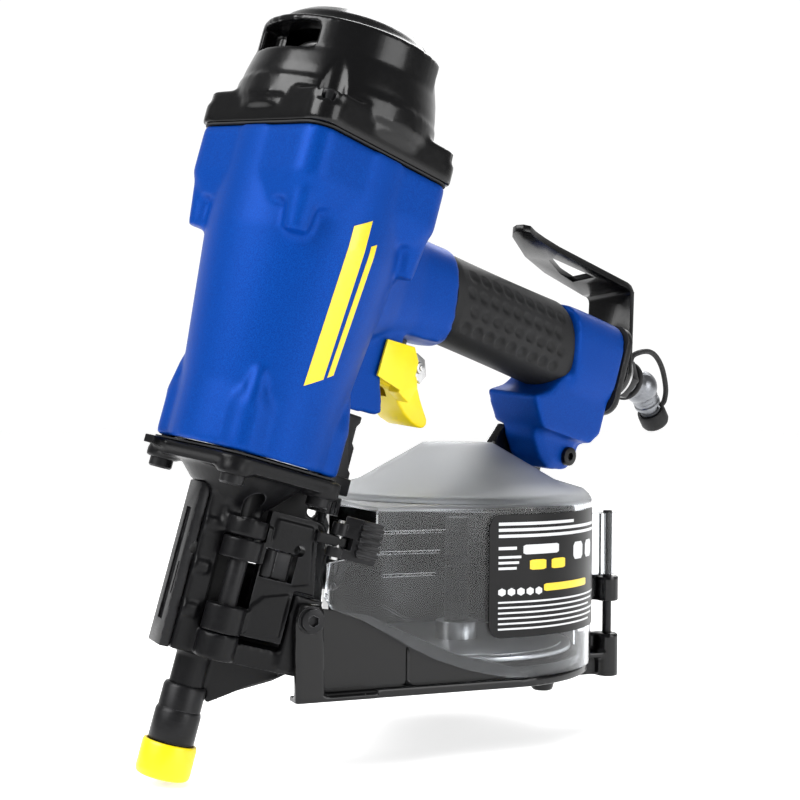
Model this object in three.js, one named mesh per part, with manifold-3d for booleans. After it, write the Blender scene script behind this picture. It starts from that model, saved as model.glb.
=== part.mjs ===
// Pneumatic coil nailer, in millimetres.
// Frame: the origin is the centre of the nose's contact face, +Z runs up the drive axis to the cap,
// +X runs back along the handle and +Y is the user's right.
import * as THREE from 'three';
import { mergeVertices } from 'three/addons/utils/BufferGeometryUtils.js';
import Module from 'manifold-3d';

const wasm = await Module();
wasm.setup();

// ---------------------------------------------------------------- driving dimensions
const GAP = 0.3;                 // clearance between pieces that touch or slide
const ROUND = 24;                // sides of a large turned piece
const SMALL_ROUND = 10;          // sides of a pin, a bolt or a hole

const TIP_HEIGHT = 13;           // soft cup over the contact foot
const TIP_RADIUS = 10.2;
const FOOT_RADIUS = 8;           // sliding sleeve of the contact foot
const FOOT_TOP = 34.5;
const NOSE_TUBE_RADIUS = 6.4;    // fixed drive tube inside the foot
const NOSE_TUBE_BOTTOM = 14.5;
const NAIL_BORE = 4;             // radius of the nail's way out
const COLUMN_BOTTOM = 47;        // cast column above the drive tube
const COLUMN_TOP = 108;

const FLANGE_TOP = 120;          // nose flange that the barrel sits on
const FLANGE_THICKNESS = 5.5;
const FLANGE_HALF = 27;
const FLANGE_CORNER = 8;
const NOSE_BOLT_OFFSET = 21.35;  // nose bolts, from the axis along X and along Y
const GASKET = 0.6;              // thickness of every gasket

const BARREL_BOTTOM = FLANGE_TOP + GASKET + 2 * GAP;
const BARREL_TOP = 239;
const BARREL_LOW_RADIUS = 31;
const BARREL_HIGH_RADIUS = 37;
const BARREL_LOW_Z = 145;        // heights where the barrel's taper begins and ends
const BARREL_HIGH_Z = 202;
const COLLAR_HALF = 36;          // square collar under the cap
const COLLAR_CORNER = 9;
const COLLAR_HEIGHT = 18;
const CAP_BOLT_OFFSET = 29.5;
const BOLT_RADIUS = 2.5;
const BOLT_HEAD_RADIUS = 4.4;
const BOLT_HEAD_HEIGHT = 5;

const SLEEVE_BORE = 25;          // cylinder that the piston runs in
const SLEEVE_WALL = 2.5;
const SLEEVE_TOP = 234;
const PISTON_HEIGHT = 12;
const PISTON_BOTTOM = 219;
const BUMPER_HEIGHT = 13;
const DRIVER_RADIUS = 3.2;

const CAP_FLANGE = 12.5;         // height of the cap's square flange
const CAP_TOP = 293;
const CAP_WALL = 4;

const HANDLE_Z = 207;            // handle axis
const HANDLE_HALF_HEIGHT = 15.5;
const HANDLE_HALF_WIDTH = 13.5;
const HANDLE_BORE = 9;           // half width of the handle's air chamber
const GRIP_START = 73;
const GRIP_END = 154;
const GRIP_WALL = 3.2;
const BLOCK_HALF_WIDTH = 17;     // rear block that carries the end plate
const BLOCK_END = 188;
const LEG_HALF_WIDTH = 9;
const LEG_BOLT_RADIUS = 3;
const LEG_BOLT_X = 173;
const LEG_BOLT_Z = 161.5;

const EAR_BOTTOM = 150;
const SPRING_SEAT_Z = EAR_BOTTOM + 12;
const TRIGGER_PIN_RADIUS = 2;
const TRIGGER_PIVOT_X = 46;
const TRIGGER_PIVOT_Z = 172;
const EAR_INNER = 10;            // half gap between the trigger ears
const EAR_THICKNESS = 3.5;
const VALVE_X = 57;
const VALVE_RADIUS = 7;
const STEM_RADIUS = 2;

const FEED_TURN = 22.3;          // the feed runs back from the nose at this angle to the handle, degrees
const DOOR_OUTER = 13.5;         // outer face of the door, from the drive axis
const DOOR_THICKNESS = 4.8;
const DOOR_LENGTH = 35.3;
const DOOR_TOP = 104;
const DOOR_BOTTOM = 57;
const HINGE_U = 3;               // door hinge axis in the feed frame
const HINGE_V = 14;
const KNUCKLE_RADIUS = 7.5;
const HINGE_PIN_RADIUS = 3.5;
const BACK_WALL = 5;             // casting wall behind the nail strip
const FEED_CYLINDER_V = 22;
const FEED_CYLINDER_Z = 88;
const FEED_CYLINDER_RADIUS = 8.5;

const CAN_RADIUS = 57.5;
const CAN_U = CAN_RADIUS + 57.5; // canister centre in the feed frame, so that its mouth stays at the nose
const CAN_V = CAN_RADIUS - 13.5;
const CAN_Z = 110;
const CAN_TILT = 15;             // canister leans to the nose by this angle, degrees
const CAN_LOW_RADIUS = CAN_RADIUS - 2;
const CAN_RIM = 19.5;            // heights along the canister axis
const CAN_FLOOR = -47.5;
const CAN_FLOOR_THICKNESS = 3;
const CAN_WALL = 2;
const FAR = 150;                 // beyond every piece of the magazine, for cuts that run right through
const CONE_TOP = 44;
const CONE_FLAT = 15;
const PLAN_SEGMENTS = 10;         // segments of the canister's round back
const CONE_SIDES = 32;
const COVER_FRONT = CAN_RADIUS + 23.5;    // how far forward the cover's lower ear reaches
const COVER_SHOULDER = CAN_RADIUS + 2.5;  // how far forward its top reaches
const COVER_HINGE_U = CAN_RADIUS + 12.5;
const COVER_HINGE_V = -8;
const COVER_PIN_RADIUS = 2;
const PLATFORM_RADIUS = CAN_RADIUS - 8.5;
const POST_RADIUS = 5;

const HOOK_THICKNESS = 3;
const HOOK_WIDTH = 24;
const HOOK_RISE = 42;
const HOOK_REACH = 86;
const HOOK_LEAN = 14;            // degrees away from the user's left
const COLLAR_RADIUS = 7.7;       // air inlet bushing
const WASHER_LENGTH = 7;
const ELBOW_BEHIND = 28;         // centre of the plug's elbow, behind the hook
const INLET_DEPTH = 6;           // how far the inlet bushing reaches into the handle
const PLUG_DROP = 34.4;          // degrees that the air plug hangs below the handle axis

// ---------------------------------------------------------------- finishes
const finish = (color, roughness, metalness, opacity = 1) =>
  new THREE.MeshStandardMaterial({ color, roughness, metalness, opacity, transparent: opacity < 1 });
const bluePaint = () => finish(0x0050b8, 0.38, 0.35);
const blackCast = () => finish(0x141416, 0.35, 0.4);
const blackSteel = () => finish(0x1b1b1d, 0.4, 0.8);
const blackRubber = () => finish(0x232324, 0.85, 0);
const yellowPlastic = () => finish(0xf4e30a, 0.45, 0);
const brightSteel = () => finish(0xb4b6b8, 0.3, 1);
const clearPlastic = () => finish(0xc8ced2, 0.15, 0, 0.35);

// ---------------------------------------------------------------- solids
function solid(geometry) {
  const bare = geometry.clone();
  bare.deleteAttribute('normal');
  bare.deleteAttribute('uv');
  const merged = mergeVertices(bare, 1e-4);
  return new wasm.Manifold(new wasm.Mesh({
    numProp: 3,
    vertProperties: new Float32Array(merged.attributes.position.array),
    triVerts: new Uint32Array(merged.index.array),
  }));
}

const join = (...solids) => solids.reduce((whole, next) => whole.add(next));
const cut = (whole, ...tools) => tools.reduce((rest, tool) => rest.subtract(tool), whole);

function boxBetween(x0, x1, y0, y1, z0, z1) {
  const geometry = new THREE.BoxGeometry(x1 - x0, y1 - y0, z1 - z0);
  geometry.translate((x0 + x1) / 2, (y0 + y1) / 2, (z0 + z1) / 2);
  return solid(geometry);
}

// A cylinder or cone on the axis through (x, y) along Z.
function post(radius, z0, z1, x = 0, y = 0, sides = SMALL_ROUND, topRadius = radius) {
  const geometry = new THREE.CylinderGeometry(topRadius, radius, z1 - z0, sides);
  geometry.rotateX(Math.PI / 2);
  geometry.translate(x, y, (z0 + z1) / 2);
  return solid(geometry);
}

function crossRod(radius, y0, y1, x, z, sides = SMALL_ROUND) {
  const geometry = new THREE.CylinderGeometry(radius, radius, y1 - y0, sides);
  geometry.translate(x, (y0 + y1) / 2, z);
  return solid(geometry);
}

function longRod(radius, x0, x1, y, z, sides = SMALL_ROUND) {
  const geometry = new THREE.CylinderGeometry(radius, radius, x1 - x0, sides);
  geometry.rotateZ(-Math.PI / 2);
  geometry.translate((x0 + x1) / 2, y, z);
  return solid(geometry);
}

// A profile of [radius, height] points turned about the Z axis.
function turned(profile, sides = ROUND) {
  const geometry = new THREE.LatheGeometry(profile.map(([r, z]) => new THREE.Vector2(r, z)), sides);
  geometry.rotateX(Math.PI / 2);
  return solid(geometry);
}

function ring(inner, outer, z0, z1, sides = ROUND) {
  return turned([[inner, z0], [outer, z0], [outer, z1], [inner, z1], [inner, z0]], sides);
}

function shapeOf(points) {
  return new THREE.Shape(points.map(([a, b]) => new THREE.Vector2(a, b)));
}

function roundedSquare(half, corner, halfY = half) {
  const shape = new THREE.Shape();
  shape.absarc(half - corner, halfY - corner, corner, 0, Math.PI / 2);
  shape.absarc(corner - half, halfY - corner, corner, Math.PI / 2, Math.PI);
  shape.absarc(corner - half, corner - halfY, corner, Math.PI, Math.PI * 1.5);
  shape.absarc(half - corner, corner - halfY, corner, Math.PI * 1.5, Math.PI * 2);
  return shape;
}

function oval(halfY, halfZ) {
  const shape = new THREE.Shape();
  shape.absellipse(0, 0, halfY, halfZ, 0, Math.PI * 2, false, 0);
  return shape;
}

// An outline in X and Y raised from z0 to z1.
function raised(shape, z0, z1, curveSegments = 3) {
  const geometry = new THREE.ExtrudeGeometry(shape, { depth: z1 - z0, bevelEnabled: false, curveSegments });
  geometry.translate(0, 0, z0);
  return solid(geometry);
}

// An outline in X and Z widened from y0 to y1.
function widened(shape, y0, y1, curveSegments = 5) {
  const geometry = new THREE.ExtrudeGeometry(shape, { depth: y1 - y0, bevelEnabled: false, curveSegments });
  geometry.rotateX(Math.PI / 2);
  geometry.translate(0, y1, 0);
  return solid(geometry);
}

// An outline in Y and Z lengthened from x0 to x1, about the handle axis.
function lengthened(shape, x0, x1, z, curveSegments = 5) {
  const geometry = new THREE.ExtrudeGeometry(shape, { depth: x1 - x0, bevelEnabled: false, curveSegments });
  geometry.applyMatrix4(new THREE.Matrix4().set(0, 0, 1, x0, 1, 0, 0, 0, 0, 1, 0, z, 0, 0, 0, 1));
  return solid(geometry);
}

function alongPath(points, radius, sides, steps) {
  const section = new THREE.Shape();
  section.absarc(0, 0, radius, 0, Math.PI * 2);
  const extrudePath = new THREE.CatmullRomCurve3(points.map(([x, y, z]) => new THREE.Vector3(x, y, z)));
  const options = { extrudePath, steps, curveSegments: sides, bevelEnabled: false };
  return solid(new THREE.ExtrudeGeometry(section, options));
}

// Moves a solid by a three.js matrix.
const moved = (whole, matrix) => whole.transform(matrix.elements);

// ---------------------------------------------------------------- scene graph
const tool = new THREE.Group();
const feed = new THREE.Group();
feed.rotation.z = -THREE.MathUtils.degToRad(FEED_TURN);
const can = new THREE.Group();
can.position.set(CAN_U, CAN_V, CAN_Z);
can.rotation.y = -THREE.MathUtils.degToRad(CAN_TILT);
feed.add(can);
tool.add(feed);
tool.updateMatrixWorld(true);

function place(group, name, whole, material) {
  const { vertProperties, triVerts, numProp } = whole.getMesh();
  const positions = Float32Array.from(
    { length: (vertProperties.length / numProp) * 3 },
    (_, i) => vertProperties[Math.floor(i / 3) * numProp + (i % 3)],
  );
  const geometry = new THREE.BufferGeometry();
  geometry.setAttribute('position', new THREE.BufferAttribute(positions, 3));
  geometry.setIndex(new THREE.BufferAttribute(new Uint32Array(triVerts), 1));
  geometry.computeVertexNormals();
  const mesh = new THREE.Mesh(geometry, material);
  mesh.name = name;
  group.add(mesh);
}

const corners = (offset) => [[-1, -1], [1, -1], [1, 1], [-1, 1]].map(([x, y]) => [x * offset, y * offset]);

// ---------------------------------------------------------------- housing and handle
const SLEEVE_RADIUS = SLEEVE_BORE + SLEEVE_WALL;
const BARREL_WALL = 3.4;
const CHAMBER_RADIUS = BARREL_HIGH_RADIUS - CAP_WALL;
const CHAMBER_BOTTOM = 160;
const chamberTaper = (BARREL_HIGH_RADIUS - BARREL_LOW_RADIUS) / (BARREL_HIGH_Z - BARREL_LOW_Z);
const CHAMBER_LOW_RADIUS = BARREL_LOW_RADIUS - BARREL_WALL + (CHAMBER_BOTTOM - BARREL_LOW_Z) * chamberTaper;

function barrel() {
  const outer = turned([
    [0, BARREL_BOTTOM], [BARREL_LOW_RADIUS, BARREL_BOTTOM], [BARREL_LOW_RADIUS, BARREL_LOW_Z],
    [BARREL_HIGH_RADIUS, BARREL_HIGH_Z], [BARREL_HIGH_RADIUS, BARREL_TOP], [0, BARREL_TOP],
  ]);
  const collarBottom = BARREL_TOP - COLLAR_HEIGHT;
  const collar = raised(roundedSquare(COLLAR_HALF, COLLAR_CORNER), collarBottom, BARREL_TOP);
  const foot = raised(roundedSquare(FLANGE_HALF, FLANGE_CORNER), BARREL_BOTTOM, BARREL_BOTTOM + 17);
  const upper = corners(CAP_BOLT_OFFSET).map(([x, y]) =>
    post(1, collarBottom - 17, collarBottom + 1, x, y, SMALL_ROUND, 6.5));
  const lower = corners(NOSE_BOLT_OFFSET).map(([x, y]) =>
    post(5.5, BARREL_BOTTOM + 17, BARREL_BOTTOM + 29, x, y, SMALL_ROUND, 1));
  return join(outer, collar, foot, ...upper, ...lower);
}

function handleCore() {
  const core = lengthened(oval(HANDLE_HALF_WIDTH, HANDLE_HALF_HEIGHT), 20, 170, HANDLE_Z);
  const rootEnd = GRIP_START - GAP;
  const root = lengthened(roundedSquare(17, 9, 20.5), 20, rootEnd, 204);
  const throat = widened(
    shapeOf([[25, 178], [38, 178], [43, 184], [rootEnd, 187], [rootEnd, 215], [25, 219]]),
    -14, 14,
  );
  const blockStart = GRIP_END + GAP;
  const block = lengthened(roundedSquare(BLOCK_HALF_WIDTH, 9, 20.5), blockStart, BLOCK_END, 206.5);
  const heel = widened(
    shapeOf([
      [blockStart, 195], [BLOCK_END, 195], [BLOCK_END, 172], [181, 169], [147, 169], [142, 177], [134, 186],
    ]),
    -BLOCK_HALF_WIDTH + 3, BLOCK_HALF_WIDTH - 3,
  );
  const leg = widened(
    shapeOf([[147, 170], [181, 170], [179, 159], [175, 155], [163, 153], [149, 163]]),
    -LEG_HALF_WIDTH, LEG_HALF_WIDTH,
  );
  const gripRoom = lengthened(oval(HANDLE_HALF_WIDTH + 4, HANDLE_HALF_HEIGHT + 4), 130, blockStart, HANDLE_Z);
  return join(core, root, throat, block, cut(heel, gripRoom), leg);
}

function triggerEars() {
  const outline = shapeOf([
    [28, 182], [41, 182], [46, SPRING_SEAT_Z], [51, EAR_BOTTOM + 2], [47, EAR_BOTTOM], [28, EAR_BOTTOM],
  ]);
  const cheek = shapeOf([[40, 184], [52, 184], [52, 166], [41, 166]]);
  const seat = boxBetween(28, 40.6, -4.3, 4.3, SPRING_SEAT_Z, SPRING_SEAT_Z + 4);
  const outer = EAR_INNER + EAR_THICKNESS;
  const sides = [[-outer, -EAR_INNER], [EAR_INNER, outer]].flatMap(([y0, y1]) =>
    [widened(outline, y0, y1), widened(cheek, y0, y1)]);
  return join(seat, ...sides);
}

function housing() {
  const chamberBore = turned([
    [0, CHAMBER_BOTTOM], [CHAMBER_LOW_RADIUS, CHAMBER_BOTTOM], [CHAMBER_RADIUS, BARREL_HIGH_Z],
    [CHAMBER_RADIUS, BARREL_TOP + 1], [0, BARREL_TOP + 1],
  ]);
  const sleeveBore = post(SLEEVE_RADIUS + GAP, BARREL_BOTTOM - 1, CHAMBER_BOTTOM + 1, 0, 0, ROUND);
  const airway = lengthened(oval(HANDLE_BORE, HANDLE_BORE + 2), 25, BLOCK_END + 1, HANDLE_Z);
  const inletStart = BLOCK_END - INLET_DEPTH - GAP;
  const inletBore = longRod(COLLAR_RADIUS + GAP, inletStart, BLOCK_END + 1, 0, HANDLE_Z, 24);
  const valveBore = post(VALVE_RADIUS + GAP, 150, HANDLE_Z, VALVE_X, 0);
  const pivotHole = crossRod(TRIGGER_PIN_RADIUS + GAP / 2, -20, 20, TRIGGER_PIVOT_X, TRIGGER_PIVOT_Z);
  const legHole = crossRod(LEG_BOLT_RADIUS + GAP, -20, 20, LEG_BOLT_X, LEG_BOLT_Z);
  const holes = [
    ...corners(CAP_BOLT_OFFSET).map(([x, y]) => post(BOLT_RADIUS + GAP, 222, BARREL_TOP + 1, x, y)),
    ...corners(NOSE_BOLT_OFFSET).map(([x, y]) => post(BOLT_RADIUS + GAP, BARREL_BOTTOM - 1, 136, x, y)),
  ];
  const body = join(barrel(), handleCore(), triggerEars());
  return cut(body, chamberBore, sleeveBore, airway, inletBore, valveBore, pivotHole, legHole, ...holes);
}

place(tool, 'main_housing', housing(), bluePaint());

const gripShape = oval(HANDLE_HALF_WIDTH + GRIP_WALL, HANDLE_HALF_HEIGHT + GRIP_WALL);
place(tool, 'grip_sleeve', cut(
  lengthened(gripShape, GRIP_START, GRIP_END, HANDLE_Z),
  lengthened(oval(HANDLE_HALF_WIDTH + GAP, HANDLE_HALF_HEIGHT + GAP), GRIP_START - 1, GRIP_END + 1, HANDLE_Z),
), blackRubber());

// ---------------------------------------------------------------- cap and head valve
const CAP_BOTTOM = BARREL_TOP + GASKET + 2 * GAP;
const CAP_FLANGE_TOP = CAP_BOTTOM + CAP_FLANGE;
const HEAD_VALVE_BOTTOM = SLEEVE_TOP + GAP;
const HEAD_VALVE_TOP = 254;
const CAP_CEILING = 282;
const SPRING_INNER = 18;
const SPRING_OUTER = 22;

place(tool, 'cap_gasket', cut(
  raised(roundedSquare(COLLAR_HALF, COLLAR_CORNER), BARREL_TOP + GAP, BARREL_TOP + GAP + GASKET),
  post(CHAMBER_RADIUS + 1, BARREL_TOP - 1, BARREL_TOP + 3, 0, 0, ROUND),
  ...corners(CAP_BOLT_OFFSET).map(([x, y]) => post(BOLT_RADIUS + GAP, BARREL_TOP - 1, BARREL_TOP + 3, x, y)),
), blackRubber());

function topCap() {
  const flange = raised(roundedSquare(COLLAR_HALF + 0.5, COLLAR_CORNER), CAP_BOTTOM, CAP_FLANGE_TOP);
  const dome = turned([
    [0, CAP_FLANGE_TOP - 2], [38.5, CAP_FLANGE_TOP - 2], [38.5, 257], [36, 268], [33, 277], [29, 284],
    [22, 289], [10, CAP_TOP - 0.5], [0, CAP_TOP],
  ]);
  const valveRoom = post(CHAMBER_RADIUS, CAP_BOTTOM - 1, 262, 0, 0, ROUND);
  const upperRoom = post(26, 261, CAP_CEILING, 0, 0, ROUND);
  const exhaust = boxBetween(-45, -20, -15, 15, 269, 280);
  const pockets = corners(CAP_BOLT_OFFSET).map(([x, y]) =>
    post(BOLT_HEAD_RADIUS + 1, CAP_FLANGE_TOP - BOLT_HEAD_HEIGHT - GAP, CAP_TOP, x, y));
  const holes = corners(CAP_BOLT_OFFSET).map(([x, y]) =>
    post(BOLT_RADIUS + GAP, CAP_BOTTOM - 1, CAP_FLANGE_TOP, x, y));
  return cut(join(flange, dome), valveRoom, upperRoom, exhaust, ...pockets, ...holes);
}
place(tool, 'top_cap', topCap(), blackCast());

function socketBolt(x, y, seat, length, up) {
  const head = up > 0 ? [seat, seat + BOLT_HEAD_HEIGHT] : [seat - BOLT_HEAD_HEIGHT, seat];
  const shank = up > 0 ? [seat - length, seat + 1] : [seat - 1, seat + length];
  const socket = up > 0 ? [head[1] - 2.5, head[1] + 1] : [head[0] - 1, head[0] + 2.5];
  return cut(
    join(post(BOLT_HEAD_RADIUS, head[0], head[1], x, y), post(BOLT_RADIUS, shank[0], shank[1], x, y)),
    post(2.2, socket[0], socket[1], x, y, 6),
  );
}
corners(CAP_BOLT_OFFSET).forEach(([x, y], i) => {
  place(tool, `cap_bolt_${i + 1}`, socketBolt(x, y, CAP_FLANGE_TOP - BOLT_HEAD_HEIGHT, 22, 1), blackSteel());
});

place(tool, 'head_valve', turned([
  [10, HEAD_VALVE_BOTTOM], [31, HEAD_VALVE_BOTTOM], [31, 238], [32.5, 240], [32.5, HEAD_VALVE_TOP],
  [28, HEAD_VALVE_TOP], [28, 248], [10, 248], [10, HEAD_VALVE_BOTTOM],
]), yellowPlastic());
place(tool, 'head_valve_spring',
  ring(SPRING_INNER, SPRING_OUTER, 248 + GAP, CAP_CEILING - GAP), brightSteel());

// ---------------------------------------------------------------- cylinder, piston and driver
const SEAL_Z = 141;
const SLEEVE_BOTTOM = BARREL_BOTTOM + GAP;
place(tool, 'cylinder_sleeve', turned([
  [SLEEVE_BORE, SLEEVE_BOTTOM], [SLEEVE_RADIUS, SLEEVE_BOTTOM], [SLEEVE_RADIUS, SEAL_Z - 1.5],
  [SLEEVE_RADIUS - 1.2, SEAL_Z - 1.5], [SLEEVE_RADIUS - 1.2, SEAL_Z + 1.5], [SLEEVE_RADIUS, SEAL_Z + 1.5],
  [SLEEVE_RADIUS, SLEEVE_TOP], [SLEEVE_BORE, SLEEVE_TOP], [SLEEVE_BORE, SLEEVE_BOTTOM],
]), brightSteel());
place(tool, 'cylinder_seal',
  ring(SLEEVE_RADIUS - 1.2 + GAP, SLEEVE_RADIUS + 0.1, SEAL_Z - 1.2, SEAL_Z + 1.2), blackRubber());
place(tool, 'bumper', turned([
  [DRIVER_RADIUS + 1.2, SLEEVE_BOTTOM], [SLEEVE_BORE - GAP, SLEEVE_BOTTOM],
  [SLEEVE_BORE - GAP, SLEEVE_BOTTOM + BUMPER_HEIGHT - 4], [17, SLEEVE_BOTTOM + BUMPER_HEIGHT],
  [DRIVER_RADIUS + 1.2, SLEEVE_BOTTOM + BUMPER_HEIGHT], [DRIVER_RADIUS + 1.2, SLEEVE_BOTTOM],
]), blackRubber());
place(tool, 'drive_piston', turned([
  [0, PISTON_BOTTOM], [SLEEVE_BORE - GAP, PISTON_BOTTOM], [SLEEVE_BORE - GAP, PISTON_BOTTOM + PISTON_HEIGHT],
  [12, PISTON_BOTTOM + PISTON_HEIGHT], [9, PISTON_BOTTOM + PISTON_HEIGHT - 5],
  [0, PISTON_BOTTOM + PISTON_HEIGHT - 5],
]), brightSteel());
const DRIVER_TIP = 96;
place(tool, 'driver_blade', post(DRIVER_RADIUS, DRIVER_TIP, PISTON_BOTTOM - GAP, 0, 0, 16), brightSteel());

// ---------------------------------------------------------------- nose casting
const turnFeed = new THREE.Matrix4().makeRotationZ(feed.rotation.z);
const LEDGE_BOTTOM = 46.5;
const LEDGE_TOP = 54;
const LEDGE_END = 43;
const STRIP_HALF = 3.9;
const BOSS_U = 35;                 // screw that holds the magazine to the nose
const BOSS_Z = 68.5;

function hingeKnuckles(levels, radius = KNUCKLE_RADIUS) {
  return levels.map(([z0, z1]) => post(radius, z0, z1, HINGE_U, -HINGE_V));
}

function noseBody() {
  const column = boxBetween(-12, 9, -10, 10, COLUMN_BOTTOM, COLUMN_TOP);
  const wallOutline = shapeOf([[8, LEDGE_TOP - 1], [40, LEDGE_TOP - 1], [40, 62], [29, 104], [8, 106]]);
  const backWall = widened(wallOutline, STRIP_HALF + 0.1, STRIP_HALF + 0.1 + BACK_WALL);
  const ledge = boxBetween(8, LEDGE_END, -12, STRIP_HALF + 0.1 + BACK_WALL, LEDGE_BOTTOM, LEDGE_TOP);
  const finShape = shapeOf([[9, LEDGE_BOTTOM + 1], [33, LEDGE_BOTTOM + 1], [33, 43], [9.5, 33]]);
  const fin = widened(finShape, -1.5, 1.5);
  const screwBoss = boxBetween(28, 39.5, -DOOR_OUTER + 0.2, -DOOR_OUTER + DOOR_THICKNESS, LEDGE_TOP - 6, 76);
  const knuckles = hingeKnuckles([[COLUMN_BOTTOM, DOOR_BOTTOM - GAP], [92 + GAP, 99]]);
  const feedPawlSlot = boxBetween(10, 28, 0, 20, FEED_CYLINDER_Z - 5, FEED_CYLINDER_Z + 5);
  const strip = boxBetween(-STRIP_HALF, 60, -DOOR_OUTER - 10, STRIP_HALF, DOOR_BOTTOM - GAP, DOOR_TOP + GAP);
  const stripCut = cut(strip, post(KNUCKLE_RADIUS + 1, 92, 120, HINGE_U, -HINGE_V),
    post(KNUCKLE_RADIUS + 1, 0, DOOR_BOTTOM, HINGE_U, -HINGE_V),
    boxBetween(27.5, LEDGE_END + 1, -DOOR_OUTER - 11, -DOOR_OUTER + DOOR_THICKNESS + 0.1, 0, 76.1));
  const doorRoom = boxBetween(-5, 27.5, -DOOR_OUTER - 1, -8.2, DOOR_BOTTOM - GAP, 92);
  return cut(join(column, backWall, ledge, fin, screwBoss, ...knuckles), stripCut, feedPawlSlot, doorRoom);
}

function noseFlange() {
  const plate = raised(roundedSquare(FLANGE_HALF, FLANGE_CORNER), FLANGE_TOP - FLANGE_THICKNESS, FLANGE_TOP);
  const dish = post(13, 105, FLANGE_TOP - FLANGE_THICKNESS + 0.5, 0, 0, ROUND, 22.5);
  const tab = boxBetween(-33, -24, 14, 20, FLANGE_TOP - 3, FLANGE_TOP);
  return join(plate, dish, tab);
}

function noseCasting() {
  const tube = post(NOSE_TUBE_RADIUS, NOSE_TUBE_BOTTOM, COLUMN_BOTTOM + 1, 0, 0, ROUND);
  const body = join(noseFlange(), moved(noseBody(), turnFeed), tube);
  const bore = post(NAIL_BORE, 0, 130, 0, 0, SMALL_ROUND);
  const pinHole = moved(post(HINGE_PIN_RADIUS + GAP, 0, 130, HINGE_U, -HINGE_V), turnFeed);
  const bossHole = moved(crossRod(BOLT_RADIUS + GAP, -30, -8, BOSS_U, BOSS_Z), turnFeed);
  const holes = corners(NOSE_BOLT_OFFSET).map(([x, y]) => post(BOLT_RADIUS + GAP, 100, 130, x, y));
  const bolts = corners(NOSE_BOLT_OFFSET).map(([x, y]) =>
    post(BOLT_HEAD_RADIUS + 0.8, 90, FLANGE_TOP - FLANGE_THICKNESS, x, y));
  const plateRoom = moved(boxBetween(-17, -12, -8 - GAP, 8 + GAP, 100, COLUMN_TOP + GAP), turnFeed);
  return cut(body, bore, pinHole, bossHole, plateRoom, ...holes, ...bolts);
}
place(tool, 'nose_casting', noseCasting(), blackCast());

place(tool, 'nose_gasket', cut(
  raised(roundedSquare(FLANGE_HALF, FLANGE_CORNER), FLANGE_TOP + GAP, FLANGE_TOP + GAP + GASKET),
  post(18, FLANGE_TOP - 1, BARREL_BOTTOM + 1, 0, 0, ROUND),
  ...corners(NOSE_BOLT_OFFSET).map(([x, y]) =>
    post(BOLT_RADIUS + GAP, FLANGE_TOP - 1, BARREL_BOTTOM + 1, x, y)),
), blackRubber());

corners(NOSE_BOLT_OFFSET).forEach(([x, y], i) => {
  const seat = FLANGE_TOP - FLANGE_THICKNESS - GAP;
  place(tool, `nose_bolt_${i + 1}`, socketBolt(x, y, seat, 20, -1), blackSteel());
});

place(feed, 'front_plate', boxBetween(-16.2, -12 - GAP, -8, 8, COLUMN_BOTTOM, COLUMN_TOP), blackSteel());

// ---------------------------------------------------------------- contact foot, link and depth wheel
const ARM_V0 = STRIP_HALF + BACK_WALL + 0.6;
const ARM_THICKNESS = 3.5;
const STUD_U = 39;
const STUD_V = ARM_V0 + ARM_THICKNESS / 2;
const ARM_TOP = 107;
const WHEEL_BOTTOM = ARM_TOP + GAP + 1;
const WHEEL_HEIGHT = 7;
const LINK_BOTTOM = WHEEL_BOTTOM + WHEEL_HEIGHT + 1.2;
const LINK_SHELF = 7;
const LINK_FRONT = 38.5;         // uprights of the contact link, along X
const LINK_REAR = 46;
const LINK_INNER = 5;            // and from the middle plane
const LINK_OUTER = EAR_INNER - 2.5;
const LINK_TOP = EAR_BOTTOM - 1.5;
const SPRING_X = 38.4;
const SPRING_RADIUS = 2.2;
const SPRING_WIRE = 0.8;
const STUD_RADIUS = 2.3;
const stud = new THREE.Vector3(STUD_U, STUD_V, 0).applyMatrix4(turnFeed);

function contactFoot() {
  const sleeve = ring(NOSE_TUBE_RADIUS + GAP, FOOT_RADIUS, 2, FOOT_TOP);
  const web = boxBetween(-3, 5, NOSE_TUBE_RADIUS + 0.6, ARM_V0 + 1, 27, 33);
  const foot = boxBetween(-3, STUD_U + 4, ARM_V0, ARM_V0 + ARM_THICKNESS, 27, 33);
  const riser = boxBetween(STUD_U - 4, STUD_U + 4, ARM_V0, ARM_V0 + ARM_THICKNESS, 27, ARM_TOP);
  const screw = post(STUD_RADIUS, ARM_TOP - 1, LINK_BOTTOM + LINK_SHELF - 3, STUD_U, STUD_V, 12);
  const besideArm = boxBetween(0, 60, ARM_V0 + ARM_THICKNESS, 60, 0, ARM_TOP);
  return join(sleeve, web, foot, riser, cut(screw, besideArm));
}
place(feed, 'contact_foot', contactFoot(), blackSteel());

place(tool, 'no_mar_tip', turned([
  [5.5, 0], [TIP_RADIUS - 1, 0], [TIP_RADIUS, 1.5], [TIP_RADIUS, TIP_HEIGHT], [FOOT_RADIUS + GAP, TIP_HEIGHT],
  [FOOT_RADIUS + GAP, 2 - GAP], [5.5, 2 - GAP], [5.5, 0],
]), yellowPlastic());

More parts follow.
